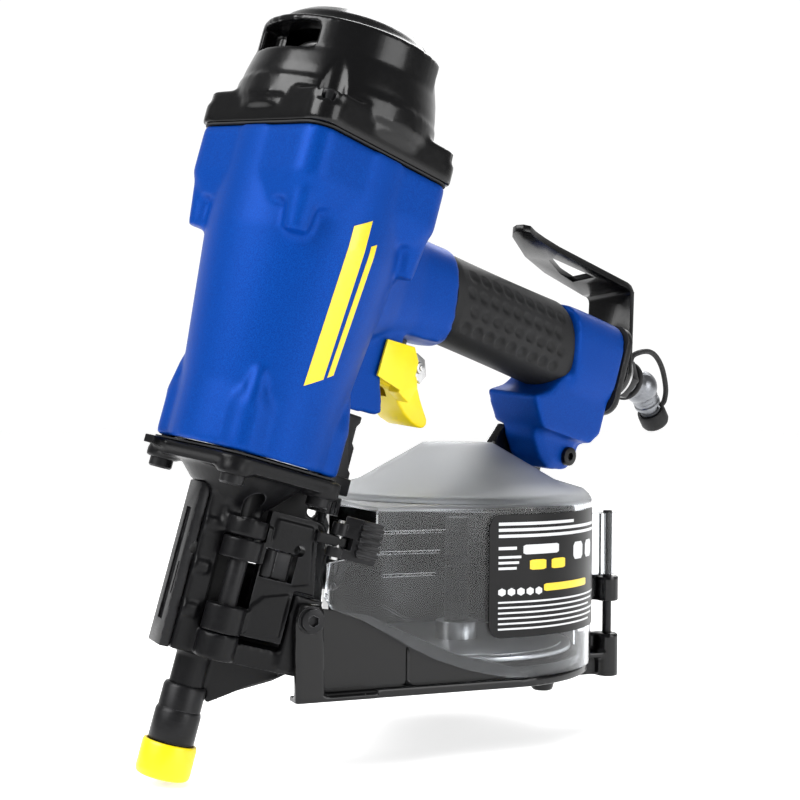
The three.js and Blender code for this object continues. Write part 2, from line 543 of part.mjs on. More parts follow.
function contactLink() {
  const shelfTop = LINK_BOTTOM + LINK_SHELF;
  const shelf = boxBetween(LINK_FRONT - 2.2, LINK_REAR + 1, -9.5, LINK_OUTER, LINK_BOTTOM, shelfTop);
  const uprights = [[-LINK_OUTER, -LINK_INNER], [LINK_INNER, LINK_OUTER]].map(([y0, y1]) =>
    boxBetween(LINK_FRONT, LINK_REAR, y0, y1, LINK_BOTTOM + 1, LINK_TOP));
  const screwHole = post(STUD_RADIUS + GAP, LINK_BOTTOM - 1, shelfTop - 1.5, stud.x, stud.y, 12);
  return cut(join(shelf, ...uprights), screwHole);
}
place(tool, 'contact_link', contactLink(), blackSteel());
place(tool, 'depth_wheel', cut(
  post(6.5, WHEEL_BOTTOM, WHEEL_BOTTOM + WHEEL_HEIGHT, stud.x, stud.y, 16),
  post(STUD_RADIUS + GAP, WHEEL_BOTTOM - 1, WHEEL_BOTTOM + WHEEL_HEIGHT + 1, stud.x, stud.y, 16),
), blackSteel());
const contactSpring = cut(
  post(SPRING_RADIUS, LINK_BOTTOM + LINK_SHELF + GAP, SPRING_SEAT_Z - GAP, SPRING_X, 0, 16),
  post(SPRING_RADIUS - SPRING_WIRE, LINK_BOTTOM, SPRING_SEAT_Z + 2, SPRING_X, 0, 16),
);
place(tool, 'contact_spring', contactSpring, brightSteel());

// ---------------------------------------------------------------- nose door, latch and pawls
function noseDoor() {
  const outline = shapeOf([
    [HINGE_U, DOOR_BOTTOM], [27, DOOR_BOTTOM], [27, 77], [DOOR_LENGTH, 77], [DOOR_LENGTH - 5.5, DOOR_TOP],
    [HINGE_U + 8, DOOR_TOP], [HINGE_U + 8, 92 - GAP], [HINGE_U, 92 - GAP],
  ]);
  const plate = widened(outline, -DOOR_OUTER, -DOOR_OUTER + DOOR_THICKNESS);
  const rib = boxBetween(13, 25, -DOOR_OUTER + DOOR_THICKNESS - 1, -STRIP_HALF - 0.8, 62, 73);
  const latchArm = boxBetween(DOOR_LENGTH - 6, DOOR_LENGTH + 6, -DOOR_OUTER - 3.5, -DOOR_OUTER + 1, 97, 101);
  const knuckles = hingeKnuckles([[DOOR_BOTTOM, 67], [84, 92 - GAP]]);
  const rodWindow = boxBetween(-20, HINGE_U + KNUCKLE_RADIUS + 1, -30, 0, 67, 84);
  const pinHole = post(HINGE_PIN_RADIUS + GAP, 40, 120, HINGE_U, -HINGE_V);
  const pawlHole = boxBetween(12, 25, -DOOR_OUTER - 1, 0, 79.5, 90.5);
  const castingRoom = post(KNUCKLE_RADIUS + 0.8, 92, 110, HINGE_U, -HINGE_V);
  return cut(join(plate, rib, latchArm, ...knuckles), rodWindow, pinHole, pawlHole, castingRoom,
    post(1.5 + GAP, 76, 93, 15, -11.2), post(1.6 + GAP, 90, 110, DOOR_LENGTH + 3, -DOOR_OUTER - 1.6));
}
place(feed, 'nose_door', noseDoor(), blackCast());
place(feed, 'door_hinge_pin',
  post(HINGE_PIN_RADIUS, COLUMN_BOTTOM + 0.5, 99.5, HINGE_U, -HINGE_V), blackSteel());
place(feed, 'check_pawl', join(
  post(2.6, 80, 90, 15, -11.2),
  boxBetween(14, 23, -12.2, -9.7, 80, 90),
  boxBetween(20, 23, -12, -STRIP_HALF - 0.8, 80, 90),
  post(1.5, 77, 92.5, 15, -11.2),
), brightSteel());

const LATCH_U = DOOR_LENGTH + 3;
function latch() {
  const barrelEye = cut(
    post(3.4, 93, 106, LATCH_U, -DOOR_OUTER - 1.6),
    boxBetween(0, 80, -30, 0, 97 - GAP, 101 + GAP),
  );
  const lever = boxBetween(LATCH_U - 2, 53, -19.5, -16, 93, 109);
  const pad = boxBetween(44, 53, -22, -19, 96, 108);
  return cut(join(barrelEye, lever, pad),
    boxBetween(0, LATCH_U + 4.4, -30, 0, 97 - GAP, 101 + GAP),
    post(1.6 + GAP, 80, 120, LATCH_U, -DOOR_OUTER - 1.6));
}
place(feed, 'door_latch', latch(), blackSteel());
place(feed, 'latch_pin', post(1.6, 92, 107, LATCH_U, -DOOR_OUTER - 1.6, 12), brightSteel());

// ---------------------------------------------------------------- feed cylinder
const FEED_START = 30;
const FEED_END = 52;
const FEED_BORE = 6;
const footV = STRIP_HALF + 0.1 + BACK_WALL + GAP;
place(feed, 'feed_cylinder', cut(
  join(
    longRod(FEED_CYLINDER_RADIUS, FEED_START, FEED_END, FEED_CYLINDER_V, FEED_CYLINDER_Z),
    boxBetween(FEED_START, FEED_START + 3.4, footV, FEED_CYLINDER_V,
      FEED_CYLINDER_Z - 6, FEED_CYLINDER_Z + 6),
  ),
  longRod(FEED_BORE, FEED_START + 2, FEED_END + 1, FEED_CYLINDER_V, FEED_CYLINDER_Z),
  longRod(2.8, FEED_START - 1, FEED_START + 3, FEED_CYLINDER_V, FEED_CYLINDER_Z),
), blackCast());
place(feed, 'feed_cap', cut(
  longRod(FEED_CYLINDER_RADIUS, FEED_END + GAP, FEED_END + 4, FEED_CYLINDER_V, FEED_CYLINDER_Z, 6),
  longRod(3, FEED_END + 2, FEED_END + 5, FEED_CYLINDER_V, FEED_CYLINDER_Z, 6),
), blackSteel());
const PAWL_U = 17;
const PAWL_V = 13;
place(feed, 'feed_piston', cut(
  join(
    longRod(FEED_BORE - GAP, 37, 41, FEED_CYLINDER_V, FEED_CYLINDER_Z),
    longRod(2.5, 20, 38, FEED_CYLINDER_V, FEED_CYLINDER_Z),
    boxBetween(13, 21.5, 9.6, 26, FEED_CYLINDER_Z - 4.5, FEED_CYLINDER_Z + 4.5),
  ),
  boxBetween(10, 23, 8, 17, FEED_CYLINDER_Z - 2.3, FEED_CYLINDER_Z + 2.3),
  post(1.5 + GAP, FEED_CYLINDER_Z - 10, FEED_CYLINDER_Z + 10, PAWL_U, PAWL_V),
), brightSteel());
place(feed, 'feed_pawl', join(
  post(3, FEED_CYLINDER_Z - 2, FEED_CYLINDER_Z + 2, PAWL_U, PAWL_V),
  boxBetween(13.5, 17, STRIP_HALF + 0.6, PAWL_V, FEED_CYLINDER_Z - 2, FEED_CYLINDER_Z + 2),
  post(1.5, FEED_CYLINDER_Z - 4.3, FEED_CYLINDER_Z + 4.3, PAWL_U, PAWL_V, 12),
), brightSteel());
place(feed, 'feed_spring', cut(
  longRod(5, 41 + GAP, FEED_END, FEED_CYLINDER_V, FEED_CYLINDER_Z, 16),
  longRod(3.8, 40, FEED_END + 1, FEED_CYLINDER_V, FEED_CYLINDER_Z, 16),
), brightSteel());

// ---------------------------------------------------------------- magazine, in the canister's frame
const canWorld = turnFeed.clone()
  .multiply(new THREE.Matrix4().makeTranslation(CAN_U, CAN_V, CAN_Z))
  .multiply(new THREE.Matrix4().makeRotationY(can.rotation.y));
const WALL_V = CAN_RADIUS;            // outer face of the straight wall that runs to the nose
const FAR_FRONT_U = -CAN_RADIUS - 8.5;
const FAR_FRONT_V = -36;
const BASE_FRONT_U = -COVER_FRONT;
const TAB_U = -CAN_RADIUS - 31;
const TAB_V0 = -WALL_V - 3.6;

// Plan of the canister: a round back with straight sides that close in on the nose.
function canPlan(radius, frontU, nearV, farV) {
  const shape = new THREE.Shape();
  const tangent = Math.atan2(farV, frontU) + Math.PI * 2 - Math.acos(radius / Math.hypot(frontU, farV));
  shape.absarc(0, 0, radius, -Math.PI / 2, tangent);
  shape.lineTo(frontU, farV);
  shape.lineTo(frontU, -nearV);
  return shape;
}

function magazineBase() {
  const floor = raised(canPlan(CAN_LOW_RADIUS + 0.5, BASE_FRONT_U, CAN_LOW_RADIUS + 0.5, FAR_FRONT_V),
    CAN_FLOOR - CAN_FLOOR_THICKNESS, CAN_FLOOR, PLAN_SEGMENTS);
  const outer = canPlan(CAN_RADIUS, FAR_FRONT_U, CAN_RADIUS, FAR_FRONT_V + 1);
  const inside = CAN_RADIUS - CAN_WALL;
  const inner = canPlan(inside, FAR_FRONT_U - 5, inside, FAR_FRONT_V - CAN_WALL - 1);
  const shell = cut(
    raised(outer, CAN_FLOOR - 1, CAN_RIM - GAP, PLAN_SEGMENTS),
    raised(inner, CAN_FLOOR - 2, CAN_RIM + 1, PLAN_SEGMENTS),
    boxBetween(-FAR, FAR, -FAR, -3, CAN_FLOOR + 0.01, CAN_RIM + 1),
    boxBetween(-FAR, FAR_FRONT_U + 3, -FAR, FAR, CAN_FLOOR + 0.01, CAN_RIM + 1),
  );
  const farWall = cut(
    shell,
    boxBetween(-FAR, FAR, -FAR, -3, -FAR, FAR),
    boxBetween(-FAR, 0, -FAR, FAR_FRONT_V - 2, -FAR, FAR),
  );
  const skirtRadius = CAN_LOW_RADIUS - 2.5;
  const skirtTop = widened(shapeOf([
    [TAB_U - 2, -15], [-COVER_SHOULDER - 2, -20], [-25, -37], [0, CAN_FLOOR + 4],
    [COVER_HINGE_U, CAN_FLOOR + 4], [COVER_HINGE_U, 80], [TAB_U - 2, 80],
  ]), -FAR, FAR);
  const skirt = cut(
    raised(canPlan(skirtRadius, BASE_FRONT_U, skirtRadius, FAR_FRONT_V), CAN_FLOOR - 0.5, -10, PLAN_SEGMENTS),
    raised(canPlan(skirtRadius - CAN_WALL, BASE_FRONT_U - 5, skirtRadius - CAN_WALL, FAR_FRONT_V - CAN_WALL),
      CAN_FLOOR - 1, -9, PLAN_SEGMENTS),
    boxBetween(-FAR, FAR, -10, FAR, -FAR, FAR),
    boxBetween(-FAR, BASE_FRONT_U + 20, FAR_FRONT_V - 12, FAR, -FAR, FAR),
    skirtTop,
  );
  const rest = post(4.2, CAN_FLOOR - CAN_FLOOR_THICKNESS - 8, CAN_FLOOR - 1, 26, -30, SMALL_ROUND, 6.5);
  const lugs = [[-59, -40], [-26, -14.5]].map(([h0, h1]) =>
    join(
      post(5, h0, h1, COVER_HINGE_U, COVER_HINGE_V),
      boxBetween(CAN_RADIUS - 1, COVER_HINGE_U, -5.6, -2, h0, h1),
    ));
  const hingeStrap = boxBetween(CAN_RADIUS - 1.5, CAN_RADIUS + 3, -5.6, 3, -50, -14.5);
  const lowLug = boxBetween(CAN_RADIUS - 9.5, COVER_HINGE_U - 2, -12, 0,
    CAN_FLOOR - CAN_FLOOR_THICKNESS, CAN_FLOOR - 0.6);
  const tabFoot = boxBetween(TAB_U - 5, -COVER_SHOULDER, TAB_V0, -CAN_LOW_RADIUS + 2,
    CAN_FLOOR - CAN_FLOOR_THICKNESS, CAN_FLOOR - 0.6);
  const tabShape = shapeOf([
    [TAB_U - 5, -49], [TAB_U + 6.5, -49], [TAB_U + 5.9, -19],
    [TAB_U + 4.5, -14], [TAB_U - 3.5, -13], [TAB_U - 5.5, -20],
  ]);
  const tab = widened(tabShape, TAB_V0, TAB_V0 + 3);
  const pinHole = post(COVER_PIN_RADIUS + GAP, -54, 20, COVER_HINGE_U, COVER_HINGE_V);
  const coverEarRoom = boxBetween(COVER_HINGE_U - 20, COVER_HINGE_U + 20, -30, -6.5, -14.2, 20);
  const body = join(floor, farWall, skirt, rest, ...lugs, hingeStrap, lowLug, tabFoot, tab);
  return cut(body, pinHole, coverEarRoom);
}

const bossCentre = new THREE.Vector3(BOSS_U, -DOOR_OUTER, BOSS_Z)
  .applyMatrix4(turnFeed)
  .applyMatrix4(canWorld.clone().invert());
place(can, 'magazine_base', cut(magazineBase(),
  crossRod(BOLT_RADIUS + GAP, TAB_V0 - 2, TAB_V0 + 5, bossCentre.x, bossCentre.z),
  boxBetween(TAB_U - 12, TAB_U + 6.1, TAB_V0 + 3, 0, -60, 40)), blackCast());
place(can, 'magazine_screw', join(
  crossRod(BOLT_HEAD_RADIUS, TAB_V0 - GAP - 3, TAB_V0 - GAP, bossCentre.x, bossCentre.z),
  crossRod(BOLT_RADIUS, TAB_V0 - 1, TAB_V0 + 6.8, bossCentre.x, bossCentre.z),
), brightSteel());

function magazineBracket() {
  const ear = widened(shapeOf([[144, 158], [149, 168.5], [181, 168.5], [181, 151], [163, 149]]),
    LEG_HALF_WIDTH + GAP, LEG_HALF_WIDTH + 5);
  const riser = cut(
    post(CAN_RADIUS + 6, CAN_FLOOR - 2, 40, 0, 0, CONE_SIDES),
    post(CAN_RADIUS + 1, CAN_FLOOR - 3, 41, 0, 0, CONE_SIDES),
    boxBetween(-FAR, CAN_RADIUS - 25.5, -FAR, FAR, -FAR, FAR),
    boxBetween(-FAR, FAR, -FAR, CAN_RADIUS - 24.5, -FAR, FAR),
  );
  const bridge = boxBetween(152, CAN_RADIUS + 118.5, LEG_HALF_WIDTH + 1, CAN_RADIUS - 31.5, 151, 158);
  const shoulder = moved(boxBetween(CAN_RADIUS - 23.5, CAN_RADIUS - 7.5, CAN_RADIUS - 24.5, CAN_RADIUS - 9.5, 30, 40),
    canWorld);
  const boltHole = crossRod(LEG_BOLT_RADIUS + GAP, 0, 40, LEG_BOLT_X, LEG_BOLT_Z);
  return cut(join(ear, moved(riser, canWorld), bridge, shoulder), boltHole);
}
place(tool, 'magazine_bracket', magazineBracket(), blackCast());
place(tool, 'bracket_bolt', join(
  crossRod(LEG_BOLT_RADIUS, -LEG_HALF_WIDTH - 1, LEG_HALF_WIDTH + 6, LEG_BOLT_X, LEG_BOLT_Z),
  crossRod(4.2, -LEG_HALF_WIDTH - GAP - 3, -LEG_HALF_WIDTH - GAP, LEG_BOLT_X, LEG_BOLT_Z),
), blackSteel());

function coverWall() {
  const frontCut = widened(shapeOf([
    [-FAR, FAR], [-COVER_SHOULDER, FAR], [-COVER_SHOULDER, 4], [2 - COVER_FRONT, 1], [-COVER_FRONT, -12],
    [3 - COVER_FRONT, -16.5], [16 - COVER_FRONT, -21.5], [-45, -33.5], [-25, -41.6], [-8, -45.6],
    [8, CAN_FLOOR + GAP], [FAR, CAN_FLOOR + GAP], [FAR, -FAR], [-FAR, -FAR],
  ]), -FAR, 0);
  const plan = (inset) =>
    canPlan(CAN_RADIUS - inset, -COVER_FRONT - 9, CAN_RADIUS - inset, FAR_FRONT_V - inset);
  const full = cut(
    raised(plan(0), CAN_FLOOR + GAP, CAN_RIM + 0.5, PLAN_SEGMENTS),
    raised(plan(CAN_WALL), CAN_FLOOR - 1, CAN_RIM + 2, PLAN_SEGMENTS),
    boxBetween(-FAR, FAR, -6.4, FAR, -FAR, FAR),
    boxBetween(-FAR, -COVER_FRONT - 3, -FAR, FAR, -FAR, FAR),
    boxBetween(-FAR, 7.5 - CAN_RADIUS, -CAN_RADIUS + CAN_WALL + 0.5, FAR, -FAR, FAR),
  );
  return cut(full, frontCut);
}

function coverTop() {
  const outer = turned([
    [0, CAN_RIM], [CAN_RADIUS, CAN_RIM], [CAN_RADIUS, CAN_RIM + 1], [CAN_RADIUS - 3.5, 25],
    [CAN_RADIUS - 15.5, 28.5], [CONE_FLAT, CONE_TOP], [0, CONE_TOP],
  ], CONE_SIDES);
  const inner = turned([
    [0, CAN_RIM - 1], [CAN_RADIUS - CAN_WALL, CAN_RIM - 1], [CAN_RADIUS - CAN_WALL, CAN_RIM + 0.6],
    [CAN_RADIUS - 4.5, 25 - CAN_WALL], [CAN_RADIUS - 16, 28.5 - CAN_WALL], [CONE_FLAT, CONE_TOP - CAN_WALL],
    [0, CONE_TOP - CAN_WALL],
  ], CONE_SIDES);
  const wedge = cut(
    raised(canPlan(CAN_RADIUS, -COVER_SHOULDER, CAN_RADIUS, FAR_FRONT_V + 4),
      CAN_RIM, CAN_RIM + CAN_WALL, PLAN_SEGMENTS),
    post(CAN_RADIUS - CAN_WALL - 0.5, 0, 30, 0, 0, CONE_SIDES),
  );
  return join(cut(outer, inner), wedge);
}

function magazineCover() {
  const hingeEar = join(
    post(4.4, -14.2 + GAP, 13, COVER_HINGE_U, COVER_HINGE_V),
    boxBetween(CAN_RADIUS - 2.2, COVER_HINGE_U, -12, -6.7, -14.2 + GAP, 13),
  );
  return cut(join(coverWall(), coverTop(), hingeEar),
    post(COVER_PIN_RADIUS + GAP, -40, 30, COVER_HINGE_U, COVER_HINGE_V));
}
place(can, 'magazine_cover', magazineCover(), clearPlastic());
place(can, 'cover_hinge_pin', post(COVER_PIN_RADIUS, -53.5, 14, COVER_HINGE_U, COVER_HINGE_V), brightSteel());
place(can, 'nail_post', post(POST_RADIUS, CAN_FLOOR + GAP, 12), blackRubber());
place(can, 'nail_platform', cut(
  join(post(PLATFORM_RADIUS, -42, -40, 0, 0, ROUND), post(9, -41, -32)),
  post(POST_RADIUS + GAP, -50, -20),
), brightSteel());

// ---------------------------------------------------------------- trigger and its valve
const TRIGGER_HALF = EAR_INNER - 0.5;
const ARM_HALF = 3.2;
const ARM_PIN_RADIUS = 1.5;
const ARM_PIVOT_X = 63.5;
const ARM_PIVOT_Z = 170;
function trigger() {
  const blade = new THREE.Shape();
  blade.moveTo(41, 164);
  blade.lineTo(41, 176);
  blade.lineTo(58, 177);
  blade.lineTo(66, 172);
  blade.quadraticCurveTo(73, 163, 80, 156);
  blade.quadraticCurveTo(82, 152.5, 77, 151.5);
  blade.quadraticCurveTo(64, 154, 57, 163);
  const pinHole = crossRod(TRIGGER_PIN_RADIUS + GAP, -20, 20, TRIGGER_PIVOT_X, TRIGGER_PIVOT_Z);
  const armSlot = boxBetween(30, 66.8, -ARM_HALF - 0.4, ARM_HALF + 0.4, 160, 180);
  const armPinHole = crossRod(ARM_PIN_RADIUS + GAP, -20, 20, ARM_PIVOT_X, ARM_PIVOT_Z);
  return cut(widened(blade, -TRIGGER_HALF, TRIGGER_HALF, 5), pinHole, armSlot, armPinHole);
}
place(tool, 'trigger', trigger(), yellowPlastic());
const PIN_HALF = EAR_INNER + EAR_THICKNESS + 0.4;
place(tool, 'trigger_pin',
  crossRod(TRIGGER_PIN_RADIUS, -PIN_HALF, PIN_HALF, TRIGGER_PIVOT_X, TRIGGER_PIVOT_Z), brightSteel());
place(tool, 'trigger_arm', cut(
  widened(shapeOf([[50, 166], [49, 169], [58, 173], [66, 173], [66, 167], [62, 167]]), -ARM_HALF, ARM_HALF),
  crossRod(ARM_PIN_RADIUS + GAP, -20, 20, ARM_PIVOT_X, ARM_PIVOT_Z),
), brightSteel());
place(tool, 'arm_pin',
  crossRod(ARM_PIN_RADIUS, -TRIGGER_HALF, TRIGGER_HALF, ARM_PIVOT_X, ARM_PIVOT_Z), brightSteel());
place(tool, 'trigger_valve_body', cut(
  post(VALVE_RADIUS, 181, 202, VALVE_X, 0),
  post(STEM_RADIUS + GAP, 170, 196, VALVE_X, 0),
), blackSteel());
place(tool, 'valve_stem', post(STEM_RADIUS, 175.2, 190, VALVE_X, 0, 12), brightSteel());

// ---------------------------------------------------------------- end plate, hook and air fitting
const PLATE_X = BLOCK_END + GASKET + 2 * GAP;
const PLATE_THICKNESS = 3.2;
const WASHER_X = PLATE_X + PLATE_THICKNESS + GAP;
const HOOK_X = WASHER_X + WASHER_LENGTH + GAP;
const ELBOW_X = HOOK_X + ELBOW_BEHIND;
const HEX_X = HOOK_X + HOOK_THICKNESS + 2.4;
const plateShape = () => roundedSquare(BLOCK_HALF_WIDTH, 8, 21);

place(tool, 'end_gasket', cut(
  lengthened(plateShape(), BLOCK_END + GAP, BLOCK_END + GAP + GASKET, 206),
  longRod(COLLAR_RADIUS + 2, BLOCK_END, PLATE_X + 1, 0, HANDLE_Z),
), blackRubber());
place(tool, 'end_plate', cut(
  lengthened(plateShape(), PLATE_X, PLATE_X + PLATE_THICKNESS, 206),
  longRod(COLLAR_RADIUS + GAP, PLATE_X - 1, PLATE_X + PLATE_THICKNESS + 1, 0, HANDLE_Z, 24),
), blackSteel());

function xRing(inner, outer, x0, x1, sides = 24) {
  return cut(longRod(outer, x0, x1, 0, HANDLE_Z, sides), longRod(inner, x0 - 1, x1 + 1, 0, HANDLE_Z, sides));
}
place(tool, 'hook_spring_washer', xRing(COLLAR_RADIUS + GAP, 12.5, WASHER_X, HOOK_X - GAP), blackSteel());
place(tool, 'hook_rear_washer',
  xRing(COLLAR_RADIUS + GAP, 11.5, HOOK_X + HOOK_THICKNESS + GAP, HEX_X - GAP), brightSteel());

function hook() {
  const half = HOOK_WIDTH / 2;
  const bendZ = HANDLE_Z + HOOK_RISE;
  const leg = join(
    boxBetween(HOOK_X, HOOK_X + HOOK_THICKNESS, -half, half, HANDLE_Z, bendZ),
    longRod(half, HOOK_X, HOOK_X + HOOK_THICKNESS, 0, HANDLE_Z, 24),
  );
  const armShape = new THREE.Shape();
  const rear = HOOK_X + HOOK_THICKNESS;
  armShape.moveTo(rear, -half);
  armShape.lineTo(rear, half);
  armShape.lineTo(rear - 43, 9);
  armShape.lineTo(rear - 64, 4);
  armShape.lineTo(rear - HOOK_REACH, -6);
  armShape.quadraticCurveTo(rear - HOOK_REACH - 5, -12, rear - HOOK_REACH, -16);
  armShape.quadraticCurveTo(rear - HOOK_REACH + 12, -13, rear - 60, -half);
  const slotShape = shapeOf([
    [rear - 26, -7.5], [rear - 26, 5], [rear - 38, 3.5], [rear - 55, -2.5], [rear - 55, -5.5],
  ]);
  const slot = raised(slotShape, bendZ - 10, bendZ + 10);
  const arm = cut(raised(armShape, bendZ - HOOK_THICKNESS, bendZ), slot);
  const bore = longRod(COLLAR_RADIUS + GAP, HOOK_X - 1, rear + 1, 0, HANDLE_Z, 24);
  const lean = new THREE.Matrix4().makeTranslation(0, 0, HANDLE_Z)
    .multiply(new THREE.Matrix4().makeRotationX(-THREE.MathUtils.degToRad(HOOK_LEAN)))
    .multiply(new THREE.Matrix4().makeTranslation(0, 0, -HANDLE_Z));
  return moved(cut(join(leg, arm), bore), lean);
}
place(tool, 'hanging_hook', hook(), blackSteel());

place(tool, 'inlet_bushing', cut(
  join(
    longRod(COLLAR_RADIUS, BLOCK_END - INLET_DEPTH, HEX_X + 1, 0, HANDLE_Z, 24),
    longRod(10.5, HEX_X, HEX_X + 7, 0, HANDLE_Z, 6),
  ),
  longRod(5.5, BLOCK_END - INLET_DEPTH - 2, HEX_X + 9, 0, HANDLE_Z),
), blackSteel());

const ELBOW_START = HEX_X + 7 + GAP;
const drop = new THREE.Matrix4().makeTranslation(ELBOW_X, 0, HANDLE_Z)
  .multiply(new THREE.Matrix4().makeRotationY(THREE.MathUtils.degToRad(90 + PLUG_DROP)));
const CAP_ALONG = 15;
const CAP_LENGTH = 9;

function airPlug() {
  const ball = new THREE.SphereGeometry(8.2, 14, 10);
  ball.translate(ELBOW_X, 0, HANDLE_Z);
  const neck = longRod(6.5, ELBOW_START, ELBOW_X, 0, HANDLE_Z);
  const barrelPart = moved(turned([
    [0, 0], [6.4, 0], [6.4, 11], [4.4, 12], [4.4, 14.5], [5, 15], [5, 20], [0, 20],
  ], 24), drop);
  const airHole = moved(post(2.5, 8, 21), drop);
  return cut(join(solid(ball), neck, barrelPart), airHole);
}
place(tool, 'air_plug', airPlug(), brightSteel());
place(tool, 'dust_cap', moved(turned([
  [0, CAP_ALONG + 6.2], [5 + GAP, CAP_ALONG + 6.2], [5 + GAP, CAP_ALONG + 0.5], [6.6, CAP_ALONG],
  [7, CAP_ALONG + CAP_LENGTH - 1.5], [5.5, CAP_ALONG + CAP_LENGTH], [0, CAP_ALONG + CAP_LENGTH],
], 24), drop), blackRubber());

const TETHER_X = ELBOW_START + 3.2;
const tetherLoop = new THREE.TorusGeometry(8.2, 1.3, 6, 18);
tetherLoop.rotateY(Math.PI / 2);
tetherLoop.translate(TETHER_X, 0, HANDLE_Z);
const capSide = new THREE.Vector3(-8.3, 0, CAP_ALONG + 4).applyMatrix4(drop);
place(tool, 'dust_cap_tether', join(
  solid(tetherLoop),
  alongPath([
    [TETHER_X, 0, HANDLE_Z + 8], [TETHER_X + 1, 0, 220], [226, 0, 224.5], [234, 0, 224.5], [242, 0, 220],
    [248.5, 0, 212], [capSide.x + 1.5, 0, capSide.z + 3], [capSide.x, 0, capSide.z],
  ], 1.3, 2, 20),
), blackRubber());

export default tool;
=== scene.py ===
import math

import bmesh
import bpy
from bpy.props import FloatProperty, FloatVectorProperty, IntProperty, PointerProperty
from mathutils import Matrix, Vector


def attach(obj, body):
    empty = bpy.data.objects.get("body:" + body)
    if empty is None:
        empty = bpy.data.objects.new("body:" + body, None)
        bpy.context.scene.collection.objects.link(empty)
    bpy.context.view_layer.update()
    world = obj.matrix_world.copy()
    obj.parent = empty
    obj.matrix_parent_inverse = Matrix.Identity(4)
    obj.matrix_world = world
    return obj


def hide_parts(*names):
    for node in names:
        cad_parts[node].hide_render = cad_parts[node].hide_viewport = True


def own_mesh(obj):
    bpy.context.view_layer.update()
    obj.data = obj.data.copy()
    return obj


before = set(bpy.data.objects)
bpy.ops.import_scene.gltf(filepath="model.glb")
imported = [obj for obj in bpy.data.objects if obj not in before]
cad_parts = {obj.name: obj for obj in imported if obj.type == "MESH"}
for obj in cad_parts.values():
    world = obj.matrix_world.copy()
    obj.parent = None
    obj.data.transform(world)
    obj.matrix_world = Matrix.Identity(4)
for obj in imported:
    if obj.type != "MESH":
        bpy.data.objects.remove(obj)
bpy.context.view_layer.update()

bl_info = {
    "name": "Coil Nailer",
    "version": (1, 0, 0),
    "blender": (4, 5, 0),
    "location": "View3D > Sidebar > Nailer",
    "description": "Builds the visual pieces of a pneumatic coil nailer round its packed frame",
    "category": "Object",
}

MM = 0.001
SIDES = 96
PIN_SIDES = 48

# Heights and places of the frame, in millimetres
DRIVE_TOP = 239.0
CAP_SEAT = 240.2
HANDLE_Z = 207.0
FLANGE_TOP = 120.0
NOSE_BOLT = 21.35
STUD_U = 39.0
CAP_BOLT = 29.5
FEED_ANGLE = math.radians(-22.3)
CAN_ANGLE = math.radians(-15)
FEED = Matrix.Rotation(FEED_ANGLE, 4, "Z")
CAN = FEED @ Matrix.Translation((115, 44, 110)) @ Matrix.Rotation(CAN_ANGLE, 4, "Y")
CAN_RADIUS = 57.5
CAN_FLOOR = -47.5
CAN_RIM = 19.5
HOOK_X = 200.0
HOOK_LEAN = math.radians(-14)
ELBOW_X = 228.0
DROP = (Matrix.Translation((ELBOW_X, 0, HANDLE_Z))
        @ Matrix.Rotation(math.radians(90 + 34.4), 4, "Y"))
LEAN = (Matrix.Translation((0, 0, HANDLE_Z)) @ Matrix.Rotation(HOOK_LEAN, 4, "X")
        @ Matrix.Translation((0, 0, -HANDLE_Z)))


# ---------------------------------------------------------------- shader helpers
class Value:
    """A shader socket that Python's operators turn into Math nodes."""

    def __init__(self, tree, socket):
        self.tree = tree
        self.socket = socket

    def math(self, operation, first, second=None):
        node = self.tree.nodes.new("ShaderNodeMath")
        node.operation = operation
        for index, item in enumerate((first, second)):
            if isinstance(item, Value):
                self.tree.links.new(item.socket, node.inputs[index])
            elif item is not None:
                node.inputs[index].default_value = item
        return Value(self.tree, node.outputs[0])

    def __add__(self, other):
        return self.math("ADD", self, other)

    __radd__ = __add__

    def __sub__(self, other):
        return self.math("SUBTRACT", self, other)

    def __rsub__(self, other):
        return self.math("SUBTRACT", other, self)

    def __mul__(self, other):
        return self.math("MULTIPLY", self, other)

    __rmul__ = __mul__

    def __gt__(self, other):
        return self.math("GREATER_THAN", self, other)

    def clamped(self):
        return self.math("MINIMUM", self.math("MAXIMUM", self, 0.0), 1.0)


